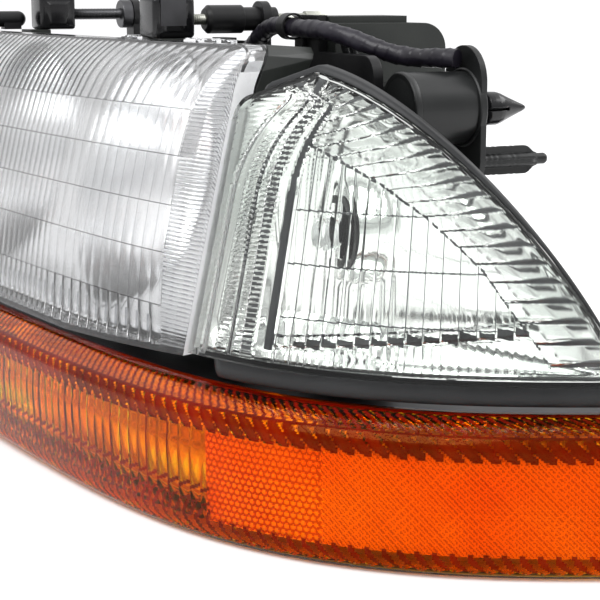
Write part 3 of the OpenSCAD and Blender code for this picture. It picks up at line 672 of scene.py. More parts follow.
CORNER_S = (156.5, 380.0)
CORNER_BOTTOM = 79
CORNER_BACK = 3.8
CORNER_RIM = 10
CORNER_PEAK = (211, 206.5)
SHOULDER_S = 245
BANDS_END = 54
RIB_PITCH = 2.3
FLUTE_PITCH = 8.6
FLUTE_JOINTS = 17
FIN_PITCH = 10.2
FINS_ONLY_S = 349
CORNER_STEPS = [101, 124, 147]
DIAGONAL_S = [205, 211, 235, 261, 287, 303, 317, 331, 343, 349]
DIAGONAL_Z = [186, 176, 169, 160, 147, 136, 125, 108, 94, 84]
CORNER_BULB_AT = (417, 135)
BEAD_ROUND = 150
BEAD_END = 44


def corner_d(z):
    return 20 + RAKE * (z - CORNER_BOTTOM)


def corner_z1(s):
    """The corner lens's top edge: a short rise to its peak, then a long arc down to its outboard tip."""
    peak_s, peak_z = CORNER_PEAK
    x = np.maximum(s - peak_s, 0)
    rise = mix(193, peak_z, (s - CORNER_S[0]) / 54.5) - corner_drop(s - CORNER_S[0], 9)
    return np.where(s < peak_s, rise, peak_z - (195 - np.sqrt(195 ** 2 - x * x) + 0.14 * x))


EDGE_S = np.linspace(211, 380, 200)
EDGE_Z = corner_z1(EDGE_S)
EDGE_L = np.concatenate([[0], np.cumsum(np.hypot(np.diff(EDGE_S), np.diff(EDGE_Z)))])


def edge_inward(s, z):
    """Distance in from the lens's outer edge at the same height."""
    return np.interp(-z, -EDGE_Z, EDGE_S) - s


def band_place(s, z):
    """Distance inboard-to-outboard across the bands, which turn outboard round the lens's shoulder."""
    rise = np.maximum(z - 150, 0)
    a = np.maximum(SHOULDER_S - s, 0.01)
    for _ in range(4):
        reach = 40 + 0.2 * a
        a = np.maximum(SHOULDER_S - s, 0.01) / np.sqrt(np.maximum(1 - (rise / reach) ** 2, 0.02))
    return SHOULDER_S - a - CORNER_S[0]


def fin_place(s, z):
    """Distance along the outer edge at which the fin through a point meets it."""
    z_edge = z
    for _ in range(5):
        s_edge = np.interp(-z_edge, -EDGE_Z, EDGE_S)
        slope = 0.22 * ease(115, 195, z)
        z_edge = np.minimum(z + slope * (s_edge - s), 206.4)
    return np.interp(-z_edge, -EDGE_Z, EDGE_L)


def cups_height(s):
    """Height of the row of cups along the bottom."""
    return np.interp(s, [215, 272, 334], [90, 95.5, 101])


def corner_flute_count(s):
    return (s - CORNER_PEAK[0]) / FLUTE_PITCH


def saw(x, drop):
    """A long rise and a short fall over each unit of x; drop is the share that falls."""
    f = frac(x)
    return np.where(f < 1 - drop, f / (1 - drop), (1 - f) / drop)


def band_relief(place, z):
    """Height of the upright bands beside the headlamp: ribbed, plain and stepped by turns."""
    ribs = lobe(z / RIB_PITCH)
    ends = [7, 17, 24, 29, 34, 42, 46, BANDS_END]
    heights = [0.3 * ribs + 0.7, 1.3 * ease(7, 12, place), 0.4 + 0.45 * ribs, 1.2 * ease(24, 29, place),
               0.2 + 0.5 * ribs, 0.9 + 0.35 * ribs, 0.2, 1.4 * saw((place - 46) / 8, 0.25)]
    return np.select([place < end for end in ends], heights, 0)


def flute_relief(s, z):
    """Height of the flutes between the bands and the fins, with the row of cups under them."""
    count = corner_flute_count(s)
    tier = np.searchsorted(CORNER_STEPS, z)
    flutes = np.array([0.42, 0.46, 0.4, 0.55])[tier] * lobe(count) + 0.12 * lobe(count * 4)
    flutes += 0.3 * frac((z - CORNER_STEPS[0]) / 23.0)
    cups_z = cups_height(s)
    cups = 2.1 * ease(-3.2, -0.6, z - cups_z) * ease(4.2, 2.4, z - cups_z)
    below = 0.6 * lobe(count * 2) + 0.4
    return np.where(z < cups_z - 3.2, below, np.maximum(flutes, cups * (0.55 + 0.45 * lobe(count))))


def fin_relief(s, z):
    """Height of the fins, whose steep sides widen towards the outer edge."""
    inward = edge_inward(s, z)
    width = 0.10 + 0.22 * ease(60, 0, inward)
    fin = saw(fin_place(s, z) / FIN_PITCH, width)
    return 1.9 * fin * (0.45 + 0.55 * ease(70, 8, inward)) + 0.2


def corner_relief(s, z):
    """Height of the bands, flutes, cups and fins on the inside of the corner lens."""
    place = band_place(s, z)
    outer = z > np.interp(s, DIAGONAL_S, DIAGONAL_Z)
    field = np.where(outer | (s > FINS_ONLY_S), fin_relief(s, z), flute_relief(s, z))
    return np.where(place < BANDS_END, band_relief(place, z), field)


def corner_marks(s, z):
    """Painted dark shade on the fins' steep sides and in the cups, and painted grey shade on the bands,
    steps and joints.
    """
    inward = edge_inward(s, z)
    fin = frac(fin_place(s, z) / FIN_PITCH)
    place = band_place(s, z)
    diagonal = np.interp(s, DIAGONAL_S, DIAGONAL_Z)
    in_fins = ((z > diagonal) | (s > FINS_ONLY_S)) & (place > 55)
    # Painted dark shade on each fin's steep side, wider towards the outer edge
    wedge = 0.05 + 0.34 * ease(34, 8, inward) * ease(1.5, 7, inward)
    dark_shade = in_fins & (fin > 1 - wedge) & (inward > 2)
    cups_z = cups_height(s)
    count = corner_flute_count(s)
    # Painted dark shade in each cup along the bottom
    cup = np.abs(z - cups_z - 0.5 + 2.0 * frac(count)) < 2.3 * (0.75 + 0.25 * np.cos(count * 2.3))
    cup &= (s > 222) & (s < 338) & (frac(count) > 0.1)
    rib = frac(z / RIB_PITCH)
    ribbed = (place > 34.5) & (place < 41) & (rib < 0.62) & (z > 84)
    plain = (place > 48.2) & (place < 52.6) & (z > 86)
    toothed = (place > 25) & (place < 28.5) & (rib < 0.5) & (z > 120)
    fluted = ~in_fins & (place > 55) & (s < FINS_ONLY_S)
    steps = fluted & (np.min([np.abs(z - row) for row in CORNER_STEPS], axis=0) < 0.3)
    joints = fluted & (np.abs(frac(count + 0.5) - 0.5) < 0.03) & (z > cups_z)
    seam = (np.abs(z - diagonal) < 0.7) & (s > 205) & (s < 347) & (frac(s / 5) < 0.7)
    # Painted grey shade on all of these
    grey = ribbed | plain | toothed | steps | joints | seam
    return np.where(dark_shade | cup, 1, np.where(grey, 2, 0))


def make_corner_lens():
    """The clear corner lens, on a grid with close pairs of columns at the flutes' joints."""
    joints = CORNER_PEAK[0] + FLUTE_PITCH * np.arange(FLUTE_JOINTS)
    start = CORNER_S[0] + LENS_WALL
    reach = CORNER_S[1] - CORNER_S[0] - 3 * LENS_WALL
    lines = (np.concatenate([joints - 0.18, joints + 0.18]) - start) / reach
    a = np.unique(np.concatenate([np.linspace(0, 1, 210), lines]))[:, None]
    b = np.linspace(0, 1, 215)[None, :]

    def surface(inset):
        s = mix(CORNER_S[0] + inset, CORNER_S[1] - 2 * inset, a)
        low = CORNER_BOTTOM + min(inset, 2)
        z = mix(low, np.maximum(low + 2, corner_z1(s) - inset), b)
        return s, z

    points, faces, s, z = lens_solid(surface, corner_d, CORNER_BACK, CORNER_RIM, corner_relief)
    # Cells take painted dark shade (1) or painted grey shade (2); the low ends of the walls take the frosted
    # edge
    cells = corner_marks(middles(s + 0 * z), middles(z))
    add_mesh("corner_lens_clear", points, faces, "corner", "carrier", ["corner_lens"], 15,
             ["dark_shade", "grey_shade", "frost"], marked(cells, 3, "low", 3))


def corner_back(s):
    return 36 + 34 * clamp01((CORNER_S[1] - s) / 130)


def pushed_forward(points, centre, front_y, reach):
    """Draws a sheet forward into a round seat about a bulb, so that it hides the socket behind."""
    x, y, z = ((points / MM) + DATUM).transpose(2, 0, 1)
    off = np.hypot(x - centre[0], z - centre[1])
    share = ease(reach, reach * 0.62, off)
    moved = points.copy()
    moved[..., 1] = (mix(y, np.minimum(y, front_y), share) - DATUM[1]) * MM
    return moved


def make_corner_reflector():
    """Metallised bowl behind the corner lens, seated round the bulb."""
    a = np.linspace(0, 1, 90)[:, None]
    b = np.linspace(0, 1, 44)[None, :]

    def skin(inset, gap):
        s = mix(CORNER_S[0] + inset, CORNER_S[1] - 2 * inset, a)
        z = mix(CORNER_BOTTOM + 0.8 * inset, corner_z1(s) - inset, b)
        back = np.maximum(corner_d(z) + 16, corner_back(s)) - gap
        roll = ease(0, 0.09, a) * ease(1, 0.93, a) * ease(0, 0.12, b) * ease(1, 0.88, b)
        points = behind(s, mix(corner_d(z) + 7.6, back, roll), z)
        return pushed_forward(points, CORNER_BULB_AT, 119, 24)

    points, faces = shell(skin(3.4, 6.2), skin(3.4, 5.4), [])
    add_mesh("corner_reflector_bowl", points, faces, "chrome", "carrier", ["corner_reflector"],
             40)


def make_corner_seal():
    """The rubber seal: a full bead along the bottom and the long outboard edge, thin beside the headlamp."""
    low_s, high_s = CORNER_S
    run = ease_steps(BEAD_ROUND) * (high_s - low_s + 3)
    climb = ease_steps(BEAD_END)
    s = low_s + np.concatenate([run, np.full(BEAD_END - 1, run[-1]), run[::-1][1:], np.zeros(BEAD_END - 2)])
    share = np.concatenate([np.zeros(BEAD_ROUND), climb[1:], np.ones(BEAD_ROUND - 1), climb[::-1][1:-1]])
    inboard = ease(178, 162, s)
    out = mix(3.4, 0.3, inboard)
    top = corner_z1(np.clip(s, *CORNER_S))
    z = mix(CORNER_BOTTOM - out - 5.4 * (1 - inboard), top + out, share)
    z_in = mix(CORNER_BOTTOM - 0.2, top + 0.2, share)
    s = np.where(s <= low_s, low_s - 0.2, s)
    s_in = np.clip(s, low_s + 0.2, high_s + 0.2)
    front = mix(2.6, 9.2, inboard)

    def loop(outward, depth):
        """Points a share of the way out across the bead, at a depth behind the lens's face."""
        height = mix(z_in, z, outward)
        return behind(mix(s_in, s, outward), corner_d(height) + depth, height)

    section = [(0, front), (0.3, front), (0.85, front + 0.5), (1, front + 1.6),
               (1, 9.8), (0.8, 10.8), (0, 10.8)]
    points, faces = closed_bead([loop(outward, depth) for outward, depth in section])
    add_mesh("corner_seal", points, faces, "seal", "carrier", ["corner_gasket"], 50)


# ---- Signal lens ----

SIGNAL_S = (-215.0, 398.0)
SIGNAL_FACE = [(24, 0), (6, 0), (2.6, 3), (1.2, 14), (0.4, 26), (0, 38), (0.3, 50), (1.2, 58), (4, 62),
               (12, 65), (20, 67.5), (24, 67.5)]
SIGNAL_BACK = [(24, 2.6), (7.5, 2.6), (5.2, 5), (3.8, 14), (3, 26), (2.6, 38), (2.9, 50), (3.8, 57),
               (6, 60), (13, 62.6), (20, 64.7), (24, 64.7)]
SIGNAL_TALL = 70
SIGNAL_FLUTE = 7.4
FIELD_END_S = 190
LOBE_PITCH = 7.7
LOBE_AT = 0.75
SHELF_PITCH = 5.2
SHELF_AT = 0.8
REFLEX_CELL = 0.6
REFLEX_FROM = (186, 9.6)
REFLEX_CELLS = (330, 74)
PYRAMID = (3.3, 2.7)
WEAVE_PITCH = 2.1
SIGNAL_BULB_AT = (141, 35)
MARKER_BULB_AT = (431, 35)


def signal_place(s, d, z):
    """Row-frame points on the amber lamp, whose bottom edge lifts a little inboard."""
    lift = 4 * clamp01((150 - s) / 300)
    return behind(s, d, z + lift * (1 - z / SIGNAL_TALL))


def resample(path, places):
    """Points at the given shares of a path's length, rounded where it turns."""
    path = np.array(path, float)
    length = np.concatenate([[0], np.cumsum(np.hypot(*np.diff(path, axis=0).T))])
    length /= length[-1]
    fine = np.linspace(0, 1, 400)
    line = np.stack([np.interp(fine, length, path[:, k]) for k in (0, 1)], 1)
    for _ in range(30):
        line[1:-1] = (line[:-2] + 2 * line[1:-1] + line[2:]) / 4
    return np.stack([np.interp(places, fine, line[:, k]) for k in (0, 1)], 1)


def leaf_place(s, t):
    """Leaves along the bottom, which lean and curl."""
    return (s + 75 * t + 2.2 * np.sin((t - 0.18) / 0.095 * math.pi)) / SIGNAL_FLUTE


def lobe_count(s, t):
    return (s + 90 * (t - LOBE_AT)) / LOBE_PITCH


def shelf_count(s, t):
    return (s + 90 * (t - SHELF_AT)) / SHELF_PITCH


def signal_relief(s, t):
    """Height of the flutes inside the signal lens, t being the share of its section from the bottom lip."""
    flutes = 0.5 * lobe(s / SIGNAL_FLUTE)
    tiers = 0.5 * saw((t - 0.2) / 0.22, 0.12)
    face = ease(0.2, 0.24, t) * ease(0.74, 0.70, t)
    plain = 0.12 * lobe(s / 2.7) * lobe(t * 36)
    inner = face * (flutes + tiers * 0.8) * ease(196, 188, s)
    outer = face * plain * ease(188, 196, s)
    scallop = 1.6 * lobe(lobe_count(s, t)) * ease(0.69, 0.72, t) * ease(0.82, 0.79, t)
    shelf = 0.8 * lobe(shelf_count(s, t)) * ease(0.82, 0.84, t)
    leaf = 1.5 * saw(leaf_place(s, t), 0.5) * ease(0.285, 0.265, t) * ease(0.17, 0.19, t)
    return inner + outer + scallop + shelf + leaf


def signal_marks(s, t):
    """1 for painted dark red shade on the lobes, leaves, ribs, stripes, steps and slanting facets; 2 for
    painted yellow highlights on some facets.
    """
    across = frac(lobe_count(s, t)) - 0.5
    lobes = (across ** 2 / 0.22 + ((t - LOBE_AT) / 0.055) ** 2 < 1) | (np.abs(t - 0.808) < 0.007)
    share = (t - 0.18) / 0.095
    leaf = (frac(leaf_place(s, t)) < 0.25 + 1.3 * share * (1 - share)) & (share > 0) & (share < 1)
    rib = (frac(shelf_count(s, t)) < 0.42) & (t > 0.815) & (t < 0.95) | (t > 0.965)
    flute = frac(s / SIGNAL_FLUTE)
    fluted = s < FIELD_END_S
    every_other = frac(s / (2 * SIGNAL_FLUTE)) < 0.5
    stripe = (flute < 0.09) & (t > 0.28) & (t < 0.7) & fluted & every_other
    step = 0.40 + 0.035 * flute
    tier = ((np.abs(t - step) < 0.010) | (np.abs(t - step + 0.07) < 0.007)) & fluted
    facet = (frac((s - 60 * t) / 5.0) < 0.4) & (t > 0.27) & (t < step - 0.08) & fluted
    # Spans where painted yellow highlights sit on the facets
    highlight_span = (s > 150) & (s < 189) | (s > -60) & (s < 40)
    top = step + 0.09 + 0.05 * frac(2 * s / SIGNAL_FLUTE)
    painted_highlight = (flute > 0.2) & highlight_span & (t > step + 0.01) & (t < top)
    return np.where(painted_highlight, 2, np.where(lobes | leaf | rib | stripe | tier | facet, 1, 0))


def make_signal_lens():
    """The amber lens: a smooth front skin and a fluted back skin, drawn in from both ends."""
    columns = 560
    shares = np.linspace(0, 1, 110)
    face, back = resample(SIGNAL_FACE, shares), resample(SIGNAL_BACK, shares)
    s = np.linspace(*SIGNAL_S, columns)[:, None]
    t = shares[None, :]
    front = signal_place(s, face[None, :, 0], face[None, :, 1])
    s_in = np.linspace(SIGNAL_S[0] + 2.4, SIGNAL_S[1] - 2.4, columns)[:, None]
    way = np.gradient(back, axis=0)
    normal = np.stack([-way[:, 1], way[:, 0]], 1)
    normal /= np.linalg.norm(normal, axis=1, keepdims=True)
    relief = signal_relief(s_in, t) * ease(0, 0.05, t) * ease(1, 0.96, t)
    d = back[None, :, 0] + normal[None, :, 0] * relief
    z = back[None, :, 1] + normal[None, :, 1] * relief
    points, faces = shell(front, signal_place(s_in, d, z), [])
    # Cells take painted dark red shade (1) or painted yellow highlights (2)
    cells = signal_marks(middles(s_in + 0 * t), middles(t + 0 * s_in))
    which = marked(cells)
    # The painted yellow highlights go on the front skin too
    which[:cells.size] = np.where(cells == 2, 2, 0).ravel()
    add_mesh("signal_lens_amber", points, faces, "amber", "carrier", ["signal_lens"], 15,
             ["amber_shade", "amber_highlight"], which)


def pyramid_place(s, z):
    """Place within a staggered pyramid, from -0.5 to 0.5 each way."""
    wide, tall = PYRAMID
    shift = 0.5 * (np.floor(z / tall) % 2)
    return frac(s / wide + shift) - 0.5, frac(z / tall) - 0.5


def make_reflex_grid():
    """The reflex reflector: staggered pyramids with painted highlights on their tips and painted shade
    between them, then a fine slanting weave outboard with painted shade on its threads.
    """
    s = REFLEX_FROM[0] + np.arange(REFLEX_CELLS[0] + 1)[:, None] * REFLEX_CELL
    z = REFLEX_FROM[1] + np.arange(REFLEX_CELLS[1] + 1)[None, :] * REFLEX_CELL
    across, up = pyramid_place(s, z)
    dome = 1 - 2 * np.maximum(np.abs(across), np.abs(up))
    weave = lobe((s + z) / WEAVE_PITCH) * 0.4 + lobe((s - z) / WEAVE_PITCH) * 0.4
    mixed = ease(236, 250, s + 0 * z)
    front = behind(s, 5.2 - 0.7 * mix(dome, weave, mixed), z)
    back = behind(s, 6.2 + 0 * z + 0 * s, z)
    points, faces = shell(front, back, [])
    s_mid, z_mid = middles(s + 0 * z), middles(z + 0 * s)
    off = np.hypot(*pyramid_place(s_mid, z_mid))
    # The painted highlights on the tips grow larger towards the bottom
    low = ease(44, 30, z_mid) * ease(190, 200, s_mid) * ease(254, 240, s_mid)
    painted_highlight = (off < 0.12 + 0.2 * low) & (s_mid < 250)
    # Painted shade on the weave's threads and round each pyramid
    thread = frac((s_mid + z_mid) / WEAVE_PITCH) < 0.38
    twill = thread & (frac((s_mid - z_mid) / (2 * WEAVE_PITCH)) < 0.75)
    line = twill & (s_mid > 246) | (off > 0.42) & (s_mid < 248)
    which = np.where(painted_highlight, 1, np.where(line, 2, 0))
    front_marks = np.concatenate([which.ravel(), np.zeros(which.size, int)])
    add_mesh("reflex_grid", points, faces, "reflex", "carrier", ["reflex_insert"], 5,
             ["reflex_highlight", "weave"], front_marks)


def make_signal_reflector():
    """Bright tray behind the amber lens, seated round both bulbs."""
    a = np.linspace(0, 1, 220)[:, None]
    b = np.linspace(0, 1, 24)[None, :]

    def skin(gap):
        s = mix(SIGNAL_S[0] + 5, SIGNAL_S[1] - 5, a)
        z = mix(6.4, 61, b)
        back = 60 - 16 * clamp01((s - 300) / 98) - gap
        roll = ease(0, 0.02, a) * ease(1, 0.98, a) * ease(0, 0.22, b) * ease(1, 0.78, b)
        points = signal_place(s, mix(27, back, roll), z)
        points = pushed_forward(points, SIGNAL_BULB_AT, 36, 26)
        return pushed_forward(points, MARKER_BULB_AT, 120, 22)

    points, faces = shell(skin(5.8), skin(4.8), [])
    add_mesh("signal_reflector_tray", points, faces, "chrome", "carrier", ["signal_reflector"],
             40)


# ---- Aiming hardware, harness and bracket ----

BALL_R = 6
THREAD_PITCH = 1.0
THREAD_DEPTH = 0.45
THREAD_START = 106
TAPE_PITCH = 6.5
HARNESS_ROUTE = [(237.9, 143, 207), (250, 143, 209.5), (262, 143, 214.5), (276, 143, 221),
                 (292, 143, 224.5), (320, 143.6, 223.5), (342, 148, 222.5), (358, 158, 217.5),
                 (370, 168, 212.5), (382, 175, 210.8), (396, 181, 211), (403, 185, 211)]
PIN_Y = [193.2, 199, 200.6, 201.6, 202.4, 204.6, 207.4, 209.6, 215, 220.5, 222.6, 223.8, 224.6, 224.9]
PIN_R = [5.0, 5.0, 6.6, 7.7, 7.95, 8.0, 7.9, 7.3, 4.9, 2.6, 1.8, 1.2, 0.6, 0.1]
PIN_CORE_R = 3.2
BUTTON_Y = 231.1
# A block's body and its raised band: lowest corner, highest corner and edge radius
BLOCK_BOXES = [((-11.4, -11.6, -9.4), (11.4, 11.6, 11.6), 2.2), ((-11.9, -5.0, -6.0), (11.9, 5.0, 6.5), 0.4)]
SEAT_R = 8.3
OPENING_R = 6.6
OPENING_LONG = 20
CLIP_OUTLINE = [(-1, 0), (-1, 0.5), (-0.8, 1.0), (-0.3, 1.15), (0.2, 0.9), (0.6, 1.2), (1, 0.8), (1, 0)]
CLIP_PLACES = [(22, 9), (88, 12), (104, 12), (119, 10)]
CLIP_DEPTHS = (0.5, 1.2, 5.5, 6.4)


def tube_faces(rings, turns):
    """Faces of a tube of rings whose ends close on two points, which follow the rings' own points."""
    last = (rings - 1) * turns
    first_tip = rings * turns
    faces = ring_faces(rings, turns)
    faces += [((k + 1) % turns, k, first_tip) for k in range(turns)]
    faces += [(last + k, last + (k + 1) % turns, first_tip + 1) for k in range(turns)]
    return faces


def turned(name, centre, rows, radius, material, body, stands_for, turns, sharp=30):
    """A solid round an axis along +Y. radius gives the radius for a row's y and an angle."""
    angle = np.linspace(0, 2 * math.pi, turns, endpoint=False)[None, :]
    y = np.asarray(rows, float)[:, None]
    r = radius(y, angle) + 0 * y + 0 * angle
    ring = np.stack([centre[0] + r * np.cos(angle), y + 0 * angle, centre[1] + r * np.sin(angle)], -1)
    tips = [[centre[0], rows[0], centre[1]], [centre[0], rows[-1], centre[1]]]
    points = (np.concatenate([ring.reshape(-1, 3), tips]) - DATUM) * MM
    add_mesh(name, points, tube_faces(len(rows), turns), material, body, stands_for, sharp)


def thread_cut(y, angle):
    """Cut of a helical thread at a height and an angle."""
    return THREAD_DEPTH * np.abs(2 * frac(y / THREAD_PITCH - angle / (2 * math.pi)) - 1)


def make_screw(name, at, node, shank, thread_end, far_end, hexagon, material="zinc"):
    """A ball, a threaded shank and a chamfered six-sided part, which hexagon gives by its ends and size."""
    hex_start, hex_end, hex_size = hexagon
    rows = np.concatenate([at[1] - BALL_R * np.cos(np.linspace(0.05, 2.6, 22)),
                           np.arange(THREAD_START, thread_end, 0.2),
                           [thread_end + 0.4, hex_start - 0.01, hex_start, hex_start + 0.7,
                            hex_end - 0.7, hex_end, hex_end + 0.01, far_end]])

    def radius(y, angle):
        on_ball = np.sqrt(np.maximum(BALL_R ** 2 - (y - at[1]) ** 2, 0))
        cut = np.where((y >= THREAD_START) & (y <= thread_end), thread_cut(y, angle), 0)
        plain = np.maximum(np.where(y > at[1], shank - cut, 0), on_ball)
        off = np.abs(frac(angle / (math.pi / 3)) - 0.5) * math.pi / 3
        corner = hex_size * np.cos(math.pi / 6) / np.cos(off)
        bevel = hex_size - 0.6 * (ease(hex_start + 0.7, hex_start, y) + ease(hex_end - 0.7, hex_end, y))
        in_hex = (y >= hex_start) & (y <= hex_end)
        return np.where(in_hex, np.minimum(corner, bevel), plain)

    turned(name, (at[0], at[2]), rows, radius, material, BODY_OF[node], [node], 24, 35)


def make_screws():
    """Both aiming screws, and the pivot stud with its flange."""
    for side, at in (("side", SIDE_AT), ("height", HEIGHT_AT)):
        make_screw(f"{side}_screw_threaded", at, f"{side}_screw", 3.0, 176, 190, (178, 189.9, 4.6))
    make_screw("pivot_stud_threaded", PIVOT_AT, "pivot_stud", 3.6, 142, 162, (155.1, 160, 7.0),
               "phosphate")
    profile = [(3.4, 143), (8.6, 143), (9.0, 143.5), (9.0, 149.4), (8.6, 149.9), (3.4, 149.9)]
    lathe("pivot_stud_flange", (PIVOT_AT[0], PIVOT_AT[2]), profile, "phosphate", BODY_OF["pivot_stud"])


def smooth_path(route, steps):
    """A Catmull-Rom curve through the route's points."""
    p = np.array([route[0], *route, route[-1]], float)
    t = np.linspace(0, 1, steps, endpoint=False)[:, None]
    parts = []
    for a, b, c, d in zip(p, p[1:], p[2:], p[3:]):
        bend = (2 * a - 5 * b + 4 * c - d) * t ** 2
        twist = (3 * b - a - 3 * c + d) * t ** 3
        parts.append(0.5 * (2 * b + (c - a) * t + bend + twist))
    return np.concatenate([*parts, p[-1:]])


def swept(name, path, radius, material, body, stands_for, turns):
    """A capped tube along a path. radius gives the radius for a distance along it and an angle."""
    way = np.gradient(path, axis=0)
    way /= np.linalg.norm(way, axis=1, keepdims=True)
    across = np.cross(way, (0.31, 0.2, 0.93))
    across /= np.linalg.norm(across, axis=1, keepdims=True)
    up = np.cross(way, across)
    along = np.concatenate([[0], np.cumsum(np.linalg.norm(np.diff(path, axis=0), axis=1))])
    angle = np.linspace(0, 2 * math.pi, turns, endpoint=False)
    r = radius(along[:, None], angle[None, :])[..., None]
    turn_x, turn_y = np.cos(angle)[None, :, None], np.sin(angle)[None, :, None]
    ring = path[:, None] + r * (across[:, None] * turn_x + up[:, None] * turn_y)
    points = (np.concatenate([ring.reshape(-1, 3), path[:1], path[-1:]]) - DATUM) * MM
    add_mesh(name, points, tube_faces(len(path), turns), material, body, stands_for, sharp=40)


def make_harness():
    """Wires bound in tape, whose overlapping turns stand up in low spiral steps."""
    def radius(along, angle):
        turn = along / TAPE_PITCH + angle / (2 * math.pi)
        lumps = 0.14 * np.sin(along / 4.1 + 2 * angle) + 0.1 * np.sin(along / 2.3 - 3 * angle)
        return 4.35 + 0.38 * frac(turn) ** 2 + lumps

    path = smooth_path(HARNESS_ROUTE, 26)
    swept("harness_taped", path, radius, "tape", "carrier", ["wiring_harness"], 36)


def make_pin():
    """The conical pin: a neck, a swelling land and a long cone with a rounded tip, split by a level slit."""
    rows = np.concatenate([np.linspace(193.2, 200, 8), np.linspace(200.2, 208.4, 22),
                           np.linspace(208.6, 222.5, 26), 222.9 + 1.9 * np.sin(np.linspace(0.1, 1.45, 6))])

    def radius(y, angle):
        r = np.interp(y, PIN_Y, PIN_R)
        slit = (np.abs(r * np.sin(angle)) < 0.62) & (y > 199) & (y < 212)
        return np.where(slit, np.minimum(r, PIN_CORE_R), r)

    turned("locating_pin_cone", PIN_AT, rows, radius, "gloss", "carrier", ["locating_pin"], 132)


def make_post():
    """A post of four ribs round a core, whose ribs round off towards a small button tip."""
    rows = np.concatenate([np.linspace(193.1, 222, 30), np.linspace(222.4, 231, 20),
                           [231.2, 235.6, 235.9, 236.4, 236.9]])

    def radius(y, angle):
        reach = 6.8 - 3.6 * ease(224, 231, y) ** 1.5
        off = np.abs(frac(angle / (math.pi / 2) + 0.5) - 0.5) * math.pi / 2
        rib = np.where(reach * np.sin(off) < 1.05, reach / np.maximum(np.cos(off), 0.7), 0)
        core = np.where(y > BUTTON_Y, 2.7 - 0.5 * ease(235.9, 236.9, y), 3.4)
        groove = 0.25 * (frac((y - 193) / 3.2) < 0.25) * (y < 222)
        return np.where(y > BUTTON_Y, core, np.maximum(core, rib) - groove)

    turned("locating_post_ribbed", POST_AT, rows, radius, "drum", "carrier", ["locating_post"], 144)


def add_rounded_box(work, low, high, edge_radius):
    """Adds a box with rounded edges to a bmesh."""
    box = bmesh.ops.create_cube(work, size=1)["verts"]
    for vert in box:
        share = [0 if c < 0 else 1 for c in vert.co]
        vert.co = [mix(low[k], high[k], share[k]) for k in range(3)]
    edges = list(dict.fromkeys(e for v in box for e in v.link_edges))
    bmesh.ops.bevel(work, geom=edges, offset=edge_radius, segments=4, affect="EDGES", profile=0.5)


def make_ball_blocks():
    """The two upper ball blocks, with rounded edges, a raised band and the ball's seat cut into them."""
    for side, at in (("side", SIDE_AT), ("pivot", PIVOT_AT)):
        node = f"{side}_block"
        work = bmesh.new()
        for low, high, edge_radius in BLOCK_BOXES:
            add_rounded_box(work, low, high, edge_radius)
        for vert in work.verts:
            vert.co = (Vector(at) + vert.co - Vector(DATUM)) * MM
        work.verts.index_update()
        points = [v.co[:] for v in work.verts]
        faces = [[v.index for v in f.verts] for f in work.faces]
        work.free()
        piece = add_mesh(f"{side}_ball_block", points, faces, "gloss", BODY_OF[node], [node], sharp=35)
        centre = (Vector(at) - Vector(DATUM)) * MM
        for cutter in (seat_cutter(centre), opening_cutter(centre)):
            cut_out(piece, cutter)


def cutter_from(name, work, place):
    """A scratch object to cut with, moved to its place."""
    bmesh.ops.translate(work, verts=work.verts, vec=place)
    mesh = bpy.data.meshes.new(name)
    work.to_mesh(mesh)
    work.free()
    cutter = bpy.data.objects.new(name, mesh)
    bpy.context.scene.collection.objects.link(cutter)
    return cutter


def seat_cutter(centre):
    """A ball the size of the cap's seat."""
    work = bmesh.new()
    bmesh.ops.create_uvsphere(work, u_segments=40, v_segments=24, radius=SEAT_R * MM)
    return cutter_from("seat", work, centre)


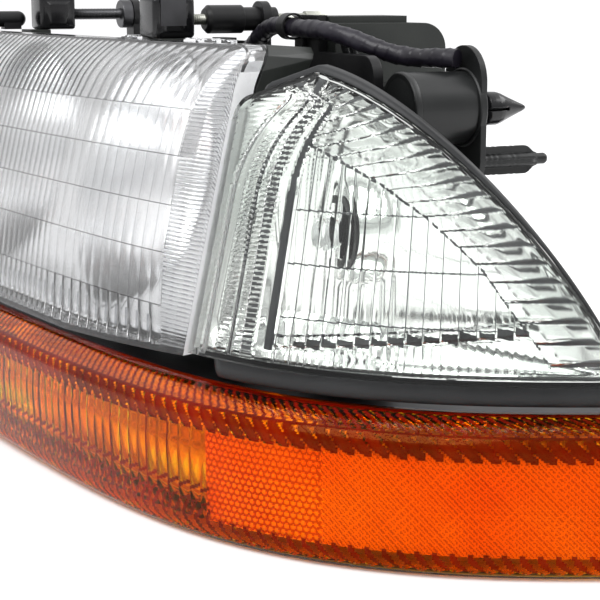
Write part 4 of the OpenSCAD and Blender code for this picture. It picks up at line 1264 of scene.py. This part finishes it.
def opening_cutter(centre):
    """A rod from the seat's centre out through the block's back."""
    work = bmesh.new()
    bmesh.ops.create_cone(work, cap_ends=True, segments=40, radius1=OPENING_R * MM, radius2=OPENING_R * MM,
                          depth=OPENING_LONG * MM)
    bmesh.ops.rotate(work, verts=work.verts, matrix=Euler((math.pi / 2, 0, 0)).to_matrix())
    return cutter_from("opening", work, centre + Vector((0, OPENING_LONG / 2 * MM, 0)))


def cut_out(piece, cutter):
    """Cuts one object out of a piece for good. The piece's two boxes overlap, so it is let cross itself."""
    cut = piece.modifiers.new("cut", "BOOLEAN")
    cut.object = cutter
    cut.solver = "EXACT"
    cut.use_self = True
    graph = bpy.context.evaluated_depsgraph_get()
    result = bpy.data.meshes.new_from_object(piece.evaluated_get(graph))
    piece.modifiers.clear()
    piece.data = result
    bpy.data.objects.remove(cutter)


def make_lens_clips():
    """Clear plastic clips along the headlamp lens's top edge, each a small bridge with two toes."""
    outline = np.array(CLIP_OUTLINE)
    count, rings = len(outline), len(CLIP_DEPTHS)
    for k, (s_mid, width) in enumerate(CLIP_PLACES):
        s = s_mid + outline[:, 0] * width / 2
        lift = HEAD_TOP + 0.1 + outline[:, 1] * 1.9
        points = np.concatenate([behind(s, head_d(HEAD_TOP) + depth, lift) for depth in CLIP_DEPTHS])
        faces = ring_faces(rings, count)
        faces += [tuple(range(count)), tuple(range((rings - 1) * count, rings * count))]
        add_mesh(f"lens_clip_{k + 1}", points, faces, "glass", "headlamp")


def make_bracket_trim():
    """A rounded lip round the drum's front and another round the flange."""
    profile = [(14.5, 156.0), (16.6, 155.6), (17.2, 156.2), (17.4, 158.4), (17.0, 159.2), (14.5, 159.0)]
    lathe("drum_lip", DRUM_AT, profile, "drum", "carrier", 96)
    profile = [(14.6, 189.2), (18.0, 189.0), (18.6, 189.8), (18.6, 192.4), (18.0, 193.0), (14.6, 192.9)]
    lathe("flange_lip", DRUM_AT, profile, "drum", "carrier", 96)


place_camera()
studio()
lay_floor()
paint_nodes()
make_head_field()
make_head_return()
make_bulb_collars()
make_corner_lens()
make_corner_reflector()
make_corner_seal()
make_signal_lens()
make_reflex_grid()
make_signal_reflector()
make_screws()
make_harness()
make_bracket_trim()
make_pin()
make_post()
make_ball_blocks()
make_lens_clips()
